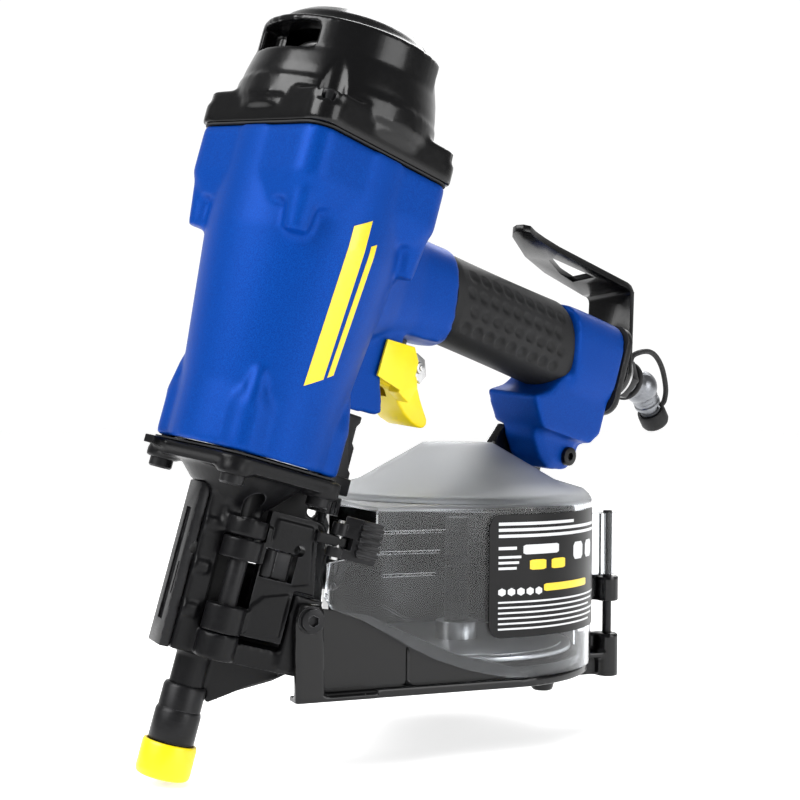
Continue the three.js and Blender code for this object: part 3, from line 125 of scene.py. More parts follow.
class Finish:
    """A material being built: node() adds any node, link() feeds the surface shader."""

    def __init__(self, name, **fixed):
        self.material = bpy.data.materials.new(name)
        self.material.use_nodes = True
        self.tree = self.material.node_tree
        self.surface = self.tree.nodes["Principled BSDF"]
        for socket, value in fixed.items():
            self.surface.inputs[socket.replace("_", " ")].default_value = value
        self.place = self.node("ShaderNodeTexCoord").outputs["Object"]

    def node(self, kind, settings=None, **inputs):
        node = self.tree.nodes.new(kind)
        for key, value in (settings or {}).items():
            setattr(node, key, value)
        for key, value in inputs.items():
            socket = node.inputs[key.replace("_", " ")]
            if isinstance(value, Value):
                value = value.socket
            if isinstance(value, bpy.types.NodeSocket):
                self.tree.links.new(value, socket)
            else:
                socket.default_value = value
        return node

    def noise(self, scale, detail=3.0, roughness=0.55, stretch=None):
        place = self.place
        if stretch:
            mapping = self.node("ShaderNodeMapping", Vector=place, Scale=stretch)
            place = mapping.outputs[0]
        made = self.node("ShaderNodeTexNoise", Vector=place, Scale=scale, Detail=detail, Roughness=roughness)
        return Value(self.tree, made.outputs[0])

    def axis(self, name):
        split = self.node("ShaderNodeSeparateXYZ", Vector=self.place)
        return Value(self.tree, split.outputs[name])

    def edges(self, radius, low=0.02, high=0.2):
        """1 along worn outer edges, 0 on flats, from the angle between the true and the rounded normal."""
        bevel = self.node("ShaderNodeBevel", {"samples": 4}, Radius=radius)
        normal = self.node("ShaderNodeNewGeometry").outputs["Normal"]
        dot = self.node("ShaderNodeVectorMath", {"operation": "DOT_PRODUCT"})
        self.tree.links.new(bevel.outputs[0], dot.inputs[0])
        self.tree.links.new(normal, dot.inputs[1])
        away = 1.0 - Value(self.tree, dot.outputs["Value"])
        return ((away - low) * (1.0 / (high - low))).clamped()

    def mixed(self, factor, first, second):
        mix = self.node("ShaderNodeMix", {"data_type": "RGBA"})
        self.tree.links.new(factor.socket, mix.inputs[0])
        for index, colour in ((6, first), (7, second)):
            if isinstance(colour, bpy.types.NodeSocket):
                self.tree.links.new(colour, mix.inputs[index])
            else:
                mix.inputs[index].default_value = colour
        return mix.outputs[2]

    def link(self, socket, source):
        if isinstance(source, Value):
            source = source.socket
        self.tree.links.new(source, self.surface.inputs[socket])

    def bump(self, height, strength, distance):
        made = self.node("ShaderNodeBump", Height=height, Strength=strength, Distance=distance)
        self.link("Normal", made.outputs["Normal"])


def colour(red, green, blue):
    """A display colour from 0 to 255 as a linear shader colour."""
    linear = [((c / 255 + 0.055) / 1.055) ** 2.4 if c > 10 else c / 255 / 12.92 for c in (red, green, blue)]
    return (*linear, 1.0)


def blue_paint():
    paint = Finish("blue_paint", Metallic=0.25, Specular_IOR_Level=0.1)
    flake = paint.noise(2600, detail=1.0)
    cloud = paint.noise(28, detail=2.0)
    base = paint.mixed((flake - 0.35) * 2.2, colour(0, 53, 137), colour(0, 75, 168))
    paint.link("Base Color", paint.mixed(cloud * 0.25, base, colour(0, 50, 126)))
    paint.link("Roughness", 0.34 + flake * 0.16 + cloud * 0.05)
    paint.bump(flake * 0.5 + paint.noise(700, detail=2.0), 0.22, 0.00012)
    return paint.material


def grip_rubber():
    rubber = Finish("grip_rubber", Specular_IOR_Level=0.28)
    grain = rubber.noise(1900, detail=2.0)
    dust = rubber.noise(45, detail=4.0)
    rubber.link("Base Color", rubber.mixed((dust - 0.3) * 0.8, colour(17, 17, 18), colour(32, 33, 35)))
    rubber.link("Roughness", 0.5 + grain * 0.22)
    rubber.bump(grain, 0.35, 0.00012)
    return rubber.material


def seal_rubber():
    rubber = Finish("seal_rubber", Specular_IOR_Level=0.35)
    grain = rubber.noise(900, detail=2.0)
    rubber.link("Base Color", rubber.mixed(grain, colour(24, 24, 25), colour(40, 40, 41)))
    rubber.link("Roughness", 0.55 + grain * 0.2)
    rubber.bump(grain, 0.3, 0.0001)
    return rubber.material


def black_enamel():
    paint = Finish("black_enamel", Coat_Weight=0.08, Coat_Roughness=0.06, Specular_IOR_Level=0.28)
    peel = paint.noise(420, detail=2.0)
    worn = paint.edges(0.0006) * (paint.noise(220, detail=4.0) > 0.56)
    paint.link("Base Color", paint.mixed(worn * 0.35, colour(8, 8, 9), colour(70, 70, 74)))
    paint.link("Roughness", 0.17 + peel * 0.12)
    paint.bump(peel, 0.05, 0.0001)
    return paint.material


def black_cast():
    paint = Finish("black_cast", Coat_Weight=0.02, Coat_Roughness=0.15, Specular_IOR_Level=0.16)
    skin = paint.noise(650, detail=4.0, roughness=0.65)
    worn = paint.edges(0.0007) * (paint.noise(260, detail=4.0) > 0.5)
    base = paint.mixed(skin, colour(7, 7, 8), colour(17, 17, 19))
    paint.link("Base Color", paint.mixed(worn * 0.4, base, colour(96, 96, 100)))
    paint.link("Roughness", 0.26 + skin * 0.2)
    paint.bump(skin, 0.35, 0.00018)
    return paint.material


def black_steel():
    steel = Finish("black_steel", Metallic=0.3, Specular_IOR_Level=0.28)
    brush = steel.noise(300, detail=4.0, stretch=(1.0, 1.0, 6.0))
    worn = steel.edges(0.0005) * (steel.noise(300, detail=4.0) > 0.48)
    base = steel.mixed(brush, colour(14, 14, 15), colour(32, 32, 34))
    steel.link("Base Color", steel.mixed(worn * 0.5, base, colour(120, 120, 122)))
    steel.link("Roughness", 0.28 + brush * 0.2)
    steel.bump(brush, 0.15, 0.00008)
    return steel.material


def yellow_plastic():
    plastic = Finish("yellow_plastic", Specular_IOR_Level=0.5, Subsurface_Weight=0.05, Subsurface_Scale=0.002)
    mottle = plastic.noise(60, detail=3.0)
    grain = plastic.noise(1200, detail=2.0)
    plastic.link("Base Color", plastic.mixed(mottle, colour(255, 232, 0), colour(244, 214, 4)))
    plastic.link("Roughness", 0.3 + grain * 0.16)
    plastic.bump(grain, 0.12, 0.00008)
    return plastic.material


def bright_steel():
    steel = Finish("bright_steel", Metallic=1.0)
    brush = steel.noise(420, detail=5.0, stretch=(5.0, 1.0, 1.0))
    steel.link("Base Color", steel.mixed(brush, colour(168, 168, 170), colour(206, 206, 205)))
    steel.link("Roughness", 0.22 + brush * 0.2)
    steel.bump(brush, 0.12, 0.00006)
    return steel.material


def plug_metal():
    metal = Finish("plug_metal", Metallic=1.0)
    turning = metal.noise(500, detail=4.0, stretch=(1.0, 1.0, 9.0))
    metal.link("Base Color", metal.mixed(turning, colour(104, 106, 110), colour(142, 144, 148)))
    metal.link("Roughness", 0.26 + turning * 0.16)
    metal.bump(turning, 0.2, 0.00006)
    return metal.material


def bright_alloy():
    alloy = Finish("bright_alloy", Metallic=1.0)
    turning = alloy.noise(500, detail=4.0, stretch=(1.0, 1.0, 9.0))
    alloy.link("Base Color", alloy.mixed(turning, colour(176, 178, 182), colour(212, 213, 216)))
    alloy.link("Roughness", 0.2 + turning * 0.16)
    alloy.bump(turning, 0.2, 0.00006)
    return alloy.material


def clear_plastic():
    plastic = Finish("clear_plastic", Transmission_Weight=1.0, IOR=1.35, Specular_IOR_Level=0.5)
    height = plastic.node("ShaderNodeVectorMath", {"operation": "DOT_PRODUCT"}, Vector=plastic.place)
    up = CAN.to_3x3() @ Vector((0, 0, 1))
    height.inputs[1].default_value = up
    rim = (CAN.translation * MM).dot(up) + CAN_RIM * MM
    above = ((Value(plastic.tree, height.outputs["Value"]) - rim) * 900.0).clamped()
    plastic.link("Base Color", plastic.mixed(above, colour(240, 243, 246), colour(232, 234, 236)))
    plastic.link("Roughness", 0.03 + above * 0.42)
    return plastic.material


def label_print():
    print_ = Finish("label_print", Roughness=0.35, Specular_IOR_Level=0.2)
    grain = print_.noise(1200, detail=1.0)
    print_.link("Base Color", print_.mixed(grain, colour(8, 8, 9), colour(14, 14, 15)))
    print_.bump(grain, 0.05, 0.00005)
    return print_.material


def pale_print(name, tint):
    print_ = Finish(name, Roughness=0.3, Coat_Weight=0.3, Coat_Roughness=0.1)
    grain = print_.noise(900, detail=1.0)
    shade = tuple(c * 0.88 for c in tint[:3]) + (1.0,)
    print_.link("Base Color", print_.mixed(grain, tint, shade))
    print_.bump(grain, 0.05, 0.00005)
    return print_.material


def floor_paper():
    paper = Finish("floor_paper", Roughness=0.9, Specular_IOR_Level=0.1, Emission_Strength=0.66)
    fibre = paper.noise(60, detail=4.0)
    tone = paper.mixed(fibre, (0.93, 0.93, 0.93, 1), (0.97, 0.97, 0.97, 1))
    paper.link("Base Color", tone)
    paper.link("Emission Color", tone)
    return paper.material


FINISHES = {}


def finish_named(name):
    makers = {
        "blue_paint": blue_paint, "grip_rubber": grip_rubber, "seal_rubber": seal_rubber,
        "black_enamel": black_enamel, "black_cast": black_cast, "black_steel": black_steel,
        "yellow_plastic": yellow_plastic, "bright_steel": bright_steel, "bright_alloy": bright_alloy,
        "plug_metal": plug_metal,
        "clear_plastic": clear_plastic, "label_print": label_print, "floor_paper": floor_paper,
        "white_print": lambda: pale_print("white_print", colour(225, 226, 228)),
        "yellow_print": lambda: pale_print("yellow_print", colour(250, 214, 10)),
    }
    if name not in FINISHES:
        FINISHES[name] = makers[name]()
    return FINISHES[name]


# ---------------------------------------------------------------- shapes, in millimetres
def circle(radius, cx=0.0, cy=0.0, count=24, start=0.0, sweep=2 * math.pi, closed=True):
    steps = count if closed else count - 1
    return [(cx + radius * math.cos(start + sweep * i / steps), cy + radius * math.sin(start + sweep * i / steps))
            for i in range(count)]


def rounded(half_a, half_b, corner, ca=0.0, cb=0.0, steps=8):
    """Outline of a rectangle with round corners."""
    points = []
    for turn, (sa, sb) in enumerate(((1, 1), (-1, 1), (-1, -1), (1, -1))):
        points += circle(corner, ca + sa * (half_a - corner), cb + sb * (half_b - corner), steps,
                         turn * math.pi / 2, math.pi / 2, closed=False)
    return points


def squircle(half_a, half_b, power=2.6, ca=0.0, cb=0.0, count=48):
    points = []
    for i in range(count):
        t = 2 * math.pi * i / count
        c, s = math.cos(t), math.sin(t)
        points.append((ca + half_a * math.copysign(abs(c) ** (2 / power), c),
                       cb + half_b * math.copysign(abs(s) ** (2 / power), s)))
    return points


def spatial(points, axis, level, shear=0.0, pivot=HANDLE_Z):
    """Puts outline points on the plane across an axis; shear leans an X plane with height."""
    if axis == "X":
        return [Vector((level + shear * (b - pivot), a, b)) for a, b in points]
    if axis == "Y":
        return [Vector((a, level, b)) for a, b in points]
    return [Vector((a, b, level)) for a, b in points]


def ring_of(bm, points):
    verts = [bm.verts.new(p) for p in points]
    edges = [bm.edges.new((verts[i], verts[(i + 1) % len(verts)])) for i in range(len(verts))]
    return verts, edges


def loft(rings):
    """A closed solid bridged through rings of points."""
    bm = bmesh.new()
    made = [ring_of(bm, ring) for ring in rings]
    for (_, first), (_, second) in zip(made, made[1:]):
        bmesh.ops.bridge_loops(bm, edges=first + second)
    bm.faces.new(made[0][0])
    bm.faces.new(made[-1][0])
    bmesh.ops.recalc_face_normals(bm, faces=bm.faces)
    return bm


def prism(points, axis, low, high):
    bm = bmesh.new()
    face = bm.faces.new([bm.verts.new(p) for p in spatial(points, axis, low)])
    made = bmesh.ops.extrude_face_region(bm, geom=[face])
    moved = [g for g in made["geom"] if isinstance(g, bmesh.types.BMVert)]
    step = {"X": (high - low, 0, 0), "Y": (0, high - low, 0), "Z": (0, 0, high - low)}[axis]
    bmesh.ops.translate(bm, verts=moved, vec=step)
    bmesh.ops.recalc_face_normals(bm, faces=bm.faces)
    return bm


def block(x0, x1, y0, y1, z0, z1):
    bm = bmesh.new()
    bmesh.ops.create_cube(bm, size=1.0)
    bmesh.ops.scale(bm, vec=(x1 - x0, y1 - y0, z1 - z0), verts=bm.verts)
    bmesh.ops.translate(bm, vec=((x0 + x1) / 2, (y0 + y1) / 2, (z0 + z1) / 2), verts=bm.verts)
    return bm


def lathe(profile, sides=SIDES, matrix=None):
    """A profile of (radius, height) points spun about Z into a closed solid."""
    bm = bmesh.new()
    verts = [bm.verts.new((r, 0, z)) for r, z in profile]
    pairs = list(zip(verts, verts[1:]))
    if profile[0][0] > 1e-6 or profile[-1][0] > 1e-6:
        pairs.append((verts[-1], verts[0]))
    edges = [bm.edges.new(pair) for pair in pairs]
    bmesh.ops.spin(bm, geom=verts + edges, cent=(0, 0, 0), axis=(0, 0, 1), angle=2 * math.pi,
                   steps=sides, use_merge=True, use_duplicate=False)
    bmesh.ops.remove_doubles(bm, verts=bm.verts, dist=1e-4)
    bmesh.ops.recalc_face_normals(bm, faces=bm.faces)
    if matrix:
        bmesh.ops.transform(bm, matrix=matrix, verts=bm.verts)
    return bm


def rod(radius, low, high, x=0.0, y=0.0, sides=PIN_SIDES, top=None):
    bm = bmesh.new()
    bmesh.ops.create_cone(bm, cap_ends=True, segments=sides, radius1=radius,
                          radius2=radius if top is None else top, depth=high - low)
    bmesh.ops.translate(bm, vec=(x, y, (low + high) / 2), verts=bm.verts)
    return bm


def turned_to(bm, axis, centre=(0, 0, 0)):
    """Turns a shape made along Z to lie along X or Y, then moves it."""
    turn = {"X": Matrix.Rotation(math.pi / 2, 4, "Y"), "Y": Matrix.Rotation(-math.pi / 2, 4, "X")}[axis]
    bmesh.ops.transform(bm, matrix=Matrix.Translation(centre) @ turn, verts=bm.verts)
    return bm


def long_rod(radius, x0, x1, y, z, sides=PIN_SIDES, top=None):
    return turned_to(rod(radius, x0, x1, sides=sides, top=top), "X", (0, y, z))


def cross_rod(radius, y0, y1, x, z, sides=PIN_SIDES):
    return turned_to(rod(radius, y0, y1, sides=sides), "Y", (x, 0, z))


def along(bm, matrix):
    bmesh.ops.transform(bm, matrix=matrix, verts=bm.verts)
    return bm


def together(*shapes):
    whole = bmesh.new()
    for shape in shapes:
        carrier = bpy.data.meshes.new("carrier")
        shape.to_mesh(carrier)
        shape.free()
        whole.from_mesh(carrier)
        bpy.data.meshes.remove(carrier)
    return whole


def tube_along(points, radius, sides=16, closed_ends=True):
    """A round tube through points, its rings kept from twisting."""
    rings = []
    path = [Vector(p) for p in points]
    side = None
    for i, here in enumerate(path):
        ahead = (path[min(i + 1, len(path) - 1)] - path[max(i - 1, 0)]).normalized()
        if side is None:
            side = ahead.orthogonal().normalized()
        side = (side - ahead * side.dot(ahead)).normalized()
        other = ahead.cross(side)
        rings.append([here + side * (radius * math.cos(a)) + other * (radius * math.sin(a))
                      for a in (2 * math.pi * k / sides for k in range(sides))])
    return loft(rings)


def smooth_path(points, steps):
    """Catmull-Rom curve through points."""
    path = [Vector(p) for p in points]
    path = [path[0] * 2 - path[1]] + path + [path[-1] * 2 - path[-2]]
    made = []
    for i in range(1, len(path) - 2):
        a, b, c, d = path[i - 1:i + 3]
        for k in range(steps):
            t = k / steps
            made.append(0.5 * ((2 * b) + (c - a) * t + (2 * a - 5 * b + 4 * c - d) * t * t
                               + (3 * b - a - 3 * c + d) * t ** 3))
    made.append(path[-2])
    return made


def softened(bm, width, segments=2, angle=30):
    """Bevels the edges sharper than an angle."""
    bmesh.ops.remove_doubles(bm, verts=bm.verts, dist=1e-4)
    sharp = [e for e in bm.edges if len(e.link_faces) == 2 and e.calc_face_angle() > math.radians(angle)]
    bmesh.ops.bevel(bm, geom=sharp, offset=width, offset_type="OFFSET", segments=segments, profile=0.5,
                    affect="EDGES", clamp_overlap=True, material=-1)
    return bm


# ---------------------------------------------------------------- objects
def to_object(name, bm, scale=MM):
    bmesh.ops.scale(bm, vec=(scale, scale, scale), verts=bm.verts)
    mesh = bpy.data.meshes.new(name)
    bm.to_mesh(mesh)
    bm.free()
    made = bpy.data.objects.new(name, mesh)
    bpy.context.scene.collection.objects.link(made)
    return made


def apply_modifiers(made):
    graph = bpy.context.evaluated_depsgraph_get()
    mesh = bpy.data.meshes.new_from_object(made.evaluated_get(graph), depsgraph=graph)
    old = made.data
    made.modifiers.clear()
    made.data = mesh
    bpy.data.meshes.remove(old)
    return made


def carve(made, *cutters, solver="EXACT"):
    tool = to_object("cutter", together(*cutters))
    change = made.modifiers.new("carve", "BOOLEAN")
    change.operation = "DIFFERENCE"
    change.solver = solver
    change.use_self = True
    change.object = tool
    apply_modifiers(made)
    bpy.data.objects.remove(tool)
    return made


def cast(name, shapes, cutters=(), voxel=1.0, rounds=6, late_cutters=()):
    """One casting with soft inner and outer corners from overlapping shapes."""
    made = to_object(name, together(*shapes))
    grown = made.modifiers.new("join", "REMESH")
    grown.mode = "VOXEL"
    grown.voxel_size = voxel * MM
    apply_modifiers(made)
    if cutters:
        tool = to_object("cutter", together(*cutters))
        change = made.modifiers.new("carve", "BOOLEAN")
        change.operation = "DIFFERENCE"
        change.solver = "EXACT"
        change.use_self = True
        change.object = tool
        apply_modifiers(made)
        bpy.data.objects.remove(tool)
        again = made.modifiers.new("even", "REMESH")
        again.mode = "VOXEL"
        again.voxel_size = voxel * MM
    even = made.modifiers.new("soften", "SMOOTH")
    even.factor = 0.5
    even.iterations = rounds
    apply_modifiers(made)
    if late_cutters:
        carve(made, *late_cutters)
    return made


def hand_in(made, body, finish, *nodes, slot=None, angle=35, smooth=True):
    """Shades a piece, gives it its finish and hands it to the frame."""
    if smooth:
        made.data.shade_smooth()
        made.data.set_sharp_from_angle(angle=math.radians(angle))
    made.data.materials.clear()
    made.data.materials.append(finish_named(finish))
    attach(made, body)
    if nodes:
        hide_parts(*nodes)
    return made


def piece(name, bm, body, finish, *nodes, bevel=0.4, segments=2, slot=None, angle=35):
    """A piece with softened edges, in its place."""
    if bevel:
        softened(bm, bevel, segments)
    return hand_in(to_object(name, bm), body, finish, *nodes, slot=slot, angle=angle)


def node_copy(node, bevel=0.3):
    """The node's own solid with merged corners, flat faces made whole and softened edges."""
    bm = bmesh.new()
    bm.from_mesh(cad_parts[node].data)
    bmesh.ops.scale(bm, vec=(1 / MM,) * 3, verts=bm.verts)
    bmesh.ops.remove_doubles(bm, verts=bm.verts, dist=0.002)
    bmesh.ops.dissolve_limit(bm, angle_limit=math.radians(1), verts=bm.verts, edges=bm.edges)
    return softened(bm, bevel) if bevel else bm


def hex_socket(x, y, low, high, across=2.3):
    return rod(across, low, high, x, y, sides=6)


# ---------------------------------------------------------------- settings
class NailerSettings(bpy.types.PropertyGroup):
    cast_grain: FloatProperty(name="Cast voxel", description="Size of the grid that joins the castings",
                              default=1.1, min=0.5, max=3.0)
    cast_rounds: IntProperty(name="Cast smoothing", description="How often a casting is smoothed",
                             default=7, min=0, max=30)
    edge_width: FloatProperty(name="Edge width", description="Bevel on machined edges, in millimetres",
                              default=0.45, min=0.05, max=2.0)
    floor_colour: FloatVectorProperty(name="Floor colour", description="Colour of the studio floor",
                                      subtype="COLOR", size=3, default=(0.95, 0.95, 0.95), min=0, max=1)
    key_power: FloatProperty(name="Key light", description="Power of the main softbox, in watts",
                             default=22.0, min=0.0, max=500.0)


class PieceOperator(bpy.types.Operator):
    """Shared base of the operators that build pieces"""
    bl_options = {"REGISTER", "UNDO"}

    def execute(self, context):
        self.build(context.scene.nailer)
        return {"FINISHED"}


class NAILER_OT_housing(PieceOperator):
    """Build the blue cast housing, its gaskets and the cylinder inside"""
    bl_idname = "nailer.housing"
    bl_label = "Housing"

    def build(self, settings):
        made = cast("housing_casting", self.shapes(), self.hollows(), settings.cast_grain,
                    settings.cast_rounds, self.holes())
        hand_in(made, "housing", "blue_paint", "main_housing", angle=40)
        for node in ("cap_gasket", "nose_gasket", "end_gasket", "cylinder_seal"):
            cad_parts[node].data.materials.clear()
            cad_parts[node].data.materials.append(finish_named("seal_rubber"))
        piece("cylinder_liner", lathe([(25, 121.5), (27.5, 121.5), (27.5, 139.5), (26.3, 139.5), (26.3, 142.5),
                                       (27.5, 142.5), (27.5, 234), (25, 234)]),
              "housing", "bright_alloy", "cylinder_sleeve", bevel=0.2)
        piece("bumper_ring", lathe([(4.4, 121.5), (24.7, 121.5), (24.7, 130.5), (22, 132), (17, 134.5), (4.4, 134.5)]),
              "housing", "seal_rubber", "bumper", bevel=0.8)

    def shapes(self):
        barrel = lathe([(0, 121.2), (31, 121.2), (31, 145), (37, 202), (37, DRIVE_TOP), (0, DRIVE_TOP)])
        collar = loft([spatial(rounded(34, 34, 12), "Z", 212), spatial(rounded(36, 36, 9), "Z", 221),
                       spatial(rounded(36, 36, 9), "Z", DRIVE_TOP)])
        foot = loft([spatial(rounded(27, 27, 8), "Z", 121.2), spatial(rounded(27, 27, 8), "Z", 139),
                     spatial(rounded(24.5, 24.5, 9), "Z", 147)])
        parts = [barrel, collar, foot]
        for sx in (-1, 1):
            for sy in (-1, 1):
                parts.append(rod(4.5, 201, 222, sx * 27.8, sy * 27.8, top=7))
                parts.append(rod(5.6, 138, 152, sx * 21, sy * 21, top=3.2))
        return parts + self.handle() + self.heel() + self.ears()

    def handle(self):
        root = loft([spatial(squircle(w, h, 3, 0, z), "X", x, lean) for x, w, h, z, lean in (
            (18, 25, 33, 202, 0), (32, 22, 28, 202, 0), (40, 19, 24.5, 203, -0.05), (52, 17.3, 21.3, 204, -0.12),
            (64, 17.1, 20.4, 205, -0.17), (72.6, 17.1, 20.2, 205.6, -0.19))])
        core = loft([spatial(squircle(13.4, 15.4, 2.2, 0, HANDLE_Z), "X", x) for x in (60, 170)])
        rear = loft([spatial(squircle(w, h, 3.4, 0, z), "X", x, lean) for x, w, h, z, lean in (
            (154.4, 17.2, 20.2, 206.2, -0.26), (162, 17.4, 20.6, 206.2, -0.16), (172, 17.4, 20.8, 206.2, -0.06),
            (188, 17, 20.7, 206.4, 0))])
        throat = prism([(22, 172), (36, 178), (44, 184), (72, 186.5), (72, 205), (22, 205)], "Y", -13.5, 13.5)
        return [root, core, rear, throat]

    def heel(self):
        block_low = prism([(158, 200), (188, 200), (188, 176), (182.5, 169.5), (147, 169), (142.5, 174), (136.5, 181),
                           (146, 186)], "Y", -14.5, 14.5)
        leg = prism([(146.5, 172), (182, 172), (180, 160), (176.5, 155.5), (163, 153), (156, 157), (149, 164)],
                    "Y", -9, 9)
        rib = prism([(150, 172), (152, 166), (163, 156.5), (174, 158), (178, 172)], "Y", -10.2, 10.2)
        return [block_low, leg, rib]

    def ears(self):
        outline = [(26, 186), (52, 186), (52, 167), (44, 167.5), (49, 156), (50.5, 151.8), (47, 150), (26, 149)]
        parts = [prism(outline, "Y", *sorted((side * 10, side * 13.5))) for side in (-1, 1)]
        seat = prism([(24, 161.5), (40.3, 162), (40.3, 165.6), (24, 172)], "Y", -4.3, 4.3)
        return parts + [seat]

    def hollows(self):
        chamber = lathe([(0, 160), (29.2, 160), (33, 202), (33, 240), (0, 240)])
        liner_room = rod(27.9, 120, 161, sides=SIDES)
        airway = loft([spatial(squircle(9, 11, 2, 0, HANDLE_Z), "X", x) for x in (26, 189)])
        return [chamber, liner_room, airway]

    def holes(self):
        made = [rod(7.3, 150, 204, 57, 0), cross_rod(2.15, -20, 20, 46, 172), cross_rod(3.3, -20, 20, 173, 161.5)]
        made += [rod(2.8, 221, 240, x * CAP_BOLT, y * CAP_BOLT) for x in (-1, 1) for y in (-1, 1)]
        made += [rod(2.8, 120, 136, x * NOSE_BOLT, y * NOSE_BOLT) for x in (-1, 1) for y in (-1, 1)]
        return [together(*made)]


class NAILER_OT_grip(PieceOperator):
    """Build the rubber grip with its dimples"""
    bl_idname = "nailer.grip"
    bl_label = "Grip"

    def build(self, settings):
        rings = []
        count = 132
        for i in range(count + 1):
            t = i / count
            lean = -0.19 - 0.08 * t
            flare = 1.6 * t * t
            ends = 1.0 - 0.05 * max(0.0, 1 - 25 * t) - 0.05 * max(0.0, 1 - 25 * (1 - t))
            half_w = (16.4 + 0.4 * math.sin(math.pi * t)) * ends
            half_h = (18.2 + flare) * ends
            rings.append(spatial(squircle(half_w, half_h, 2.3, 0, HANDLE_Z, 144), "X", 73.4 + 80.2 * t, lean))
        bm = loft(rings)
        for vert in bm.verts:
            self.dimple(vert)
        made = to_object("grip_cover", bm)
        carve(made, loft([spatial(squircle(13.8, 15.8, 2.2, 0, HANDLE_Z), "X", x) for x in (60, 170)]))
        hand_in(made, "housing", "grip_rubber", "grip_sleeve", angle=45)

    def dimple(self, vert):
        """Presses rows of oval dimples into both sides of the sleeve."""
        x = (vert.co.x - 73.4 + 0.23 * (vert.co.z - HANDLE_Z)) / 80.2
        height = vert.co.z - HANDLE_Z
        if not 0.05 < x < 0.93 or abs(vert.co.y) < 6:
            return
        for row, level in enumerate((-10.5, -3.5, 3.5, 10.5)):
            for k in range(9):
                along_x = (x - (0.1 + 0.092 * k + 0.03 * (row % 2))) * 80.2
                up = height - level
                far = (along_x / 3.1) ** 2 + (up / 2.3) ** 2
                if far < 1:
                    depth = 1.1 * (1 - far) ** 0.6
                    vert.co.y -= math.copysign(depth, vert.co.y)
                    return


def socket_screw(name, x, y, seat, up, node, head=4.4, finish="black_steel"):
    top = seat + 5 if up > 0 else seat - 5
    shank_end = seat - 17 if up > 0 else seat + 15
    profile = [(0, top), (head - 0.6, top), (head, top - 0.6 * up), (head, seat + 0.1 * up), (2.5, seat),
               (2.5, shank_end), (0, shank_end)]
    bm = along(lathe(profile, PIN_SIDES), Matrix.Translation((x, y, 0)))
    made = to_object(name, bm)
    low, high = sorted((top - 2.6 * up, top + 1 * up))
    carve(made, hex_socket(x, y, low, high))
    return hand_in(made, "housing", finish, node)


class NAILER_OT_cap(PieceOperator):
    """Build the domed cap, its screws and the head valve under it"""
    bl_idname = "nailer.cap"
    bl_label = "Cap"

    def build(self, settings):
        flange = loft([spatial(rounded(36.5, 36.5, 9.5), "Z", CAP_SEAT), spatial(rounded(36.5, 36.5, 9.5), "Z", 252.7)])
        dome = lathe([(0, 246), (38.3, 246), (38.5, 256), (37.6, 262), (36.2, 268), (34, 275.5), (31.5, 282),
                      (28.2, 287), (23.5, 290.2), (16, 292.2), (8, 292.9), (0, 293)])
        skirt = lathe([(0, 250), (39.3, 250), (38.9, 257.5), (0, 258.5)])
        visor = prism(circle(35.4, 0, 0, 40, math.radians(100), math.radians(200), closed=False) + [(-8, -8), (-8, 8)],
                      "Z", 270.0, 282.5)
        bosses = [rod(8.2, CAP_SEAT, 247.7, x * 28.6, y * 28.6) for x in (-1, 1) for y in (-1, 1)]
        room = rod(33, 239, 262, sides=SIDES)
        upper = rod(26, 261, 282, sides=SIDES)
        slot = prism([(-48, -17), (-24, -15), (-24, 15), (-48, 17)], "Z", 269.5, 279.5)
        pockets = [rod(5.6, 247.5, 300, x * CAP_BOLT, y * CAP_BOLT) for x in (-1, 1) for y in (-1, 1)]
        made = cast("cap_shell", [flange, dome, skirt, visor] + bosses, [together(room), together(upper),
                    slot, together(*pockets)], 0.9, 4)
        hand_in(made, "housing", "black_enamel", "top_cap", angle=40)
        for i, (x, y) in enumerate(((-1, -1), (1, -1), (1, 1), (-1, 1))):
            socket_screw(f"cap_screw_{i + 1}", x * CAP_BOLT, y * CAP_BOLT, 247.8, 1, f"cap_bolt_{i + 1}", 4.2)
        piece("head_valve_body", lathe([(10, 234.3), (31, 234.3), (31, 238), (32.5, 240), (32.5, 254), (28, 254),
                                        (28, 248), (10, 248)]), "head_valve", "yellow_plastic", "head_valve", bevel=0.4)
        spring = coil_spring("head_valve_coil", 20, 1.6, 248.4, 281.6, 4)
        hand_in(spring, "housing", "bright_steel", "head_valve_spring")
        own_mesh(spring)


def coil_spring(name, radius, wire, low, high, turns, x=0.0, y=0.0):
    """A wire circle spun up a helix."""
    bm = bmesh.new()
    made = bmesh.ops.create_circle(bm, cap_ends=False, radius=wire, segments=14)
    turn = Matrix.Translation((radius, 0, low + wire)) @ Matrix.Rotation(math.pi / 2, 4, "X")
    bmesh.ops.transform(bm, matrix=turn, verts=made["verts"])
    steps = turns * 28
    rise = (high - low - 2 * wire) / steps
    bmesh.ops.spin(bm, geom=bm.verts[:] + bm.edges[:], cent=(0, 0, 0), axis=(0, 0, 1), dvec=(0, 0, rise),
                   angle=2 * math.pi * turns, steps=steps, use_merge=False, use_duplicate=False)
    bmesh.ops.holes_fill(bm, edges=bm.edges, sides=0)
    bmesh.ops.translate(bm, vec=(x, y, 0), verts=bm.verts)
    bmesh.ops.recalc_face_normals(bm, faces=bm.faces)
    return to_object(name, bm)


class NAILER_OT_drive(PieceOperator):
    """Build the piston and the driver"""
    bl_idname = "nailer.drive"
    bl_label = "Drive"

    def build(self, settings):
        piece("piston_head", lathe([(0, 219), (24.7, 219), (24.7, 222.5), (23.6, 222.5), (23.6, 226), (24.7, 226),
                                    (24.7, 231), (12, 231), (9, 226), (0, 226)]), "piston", "bright_alloy",
              "drive_piston", bevel=0.3)
        piece("driver_rod", rod(3.2, 96, 218.7), "piston", "bright_steel", "driver_blade", bevel=0.3)


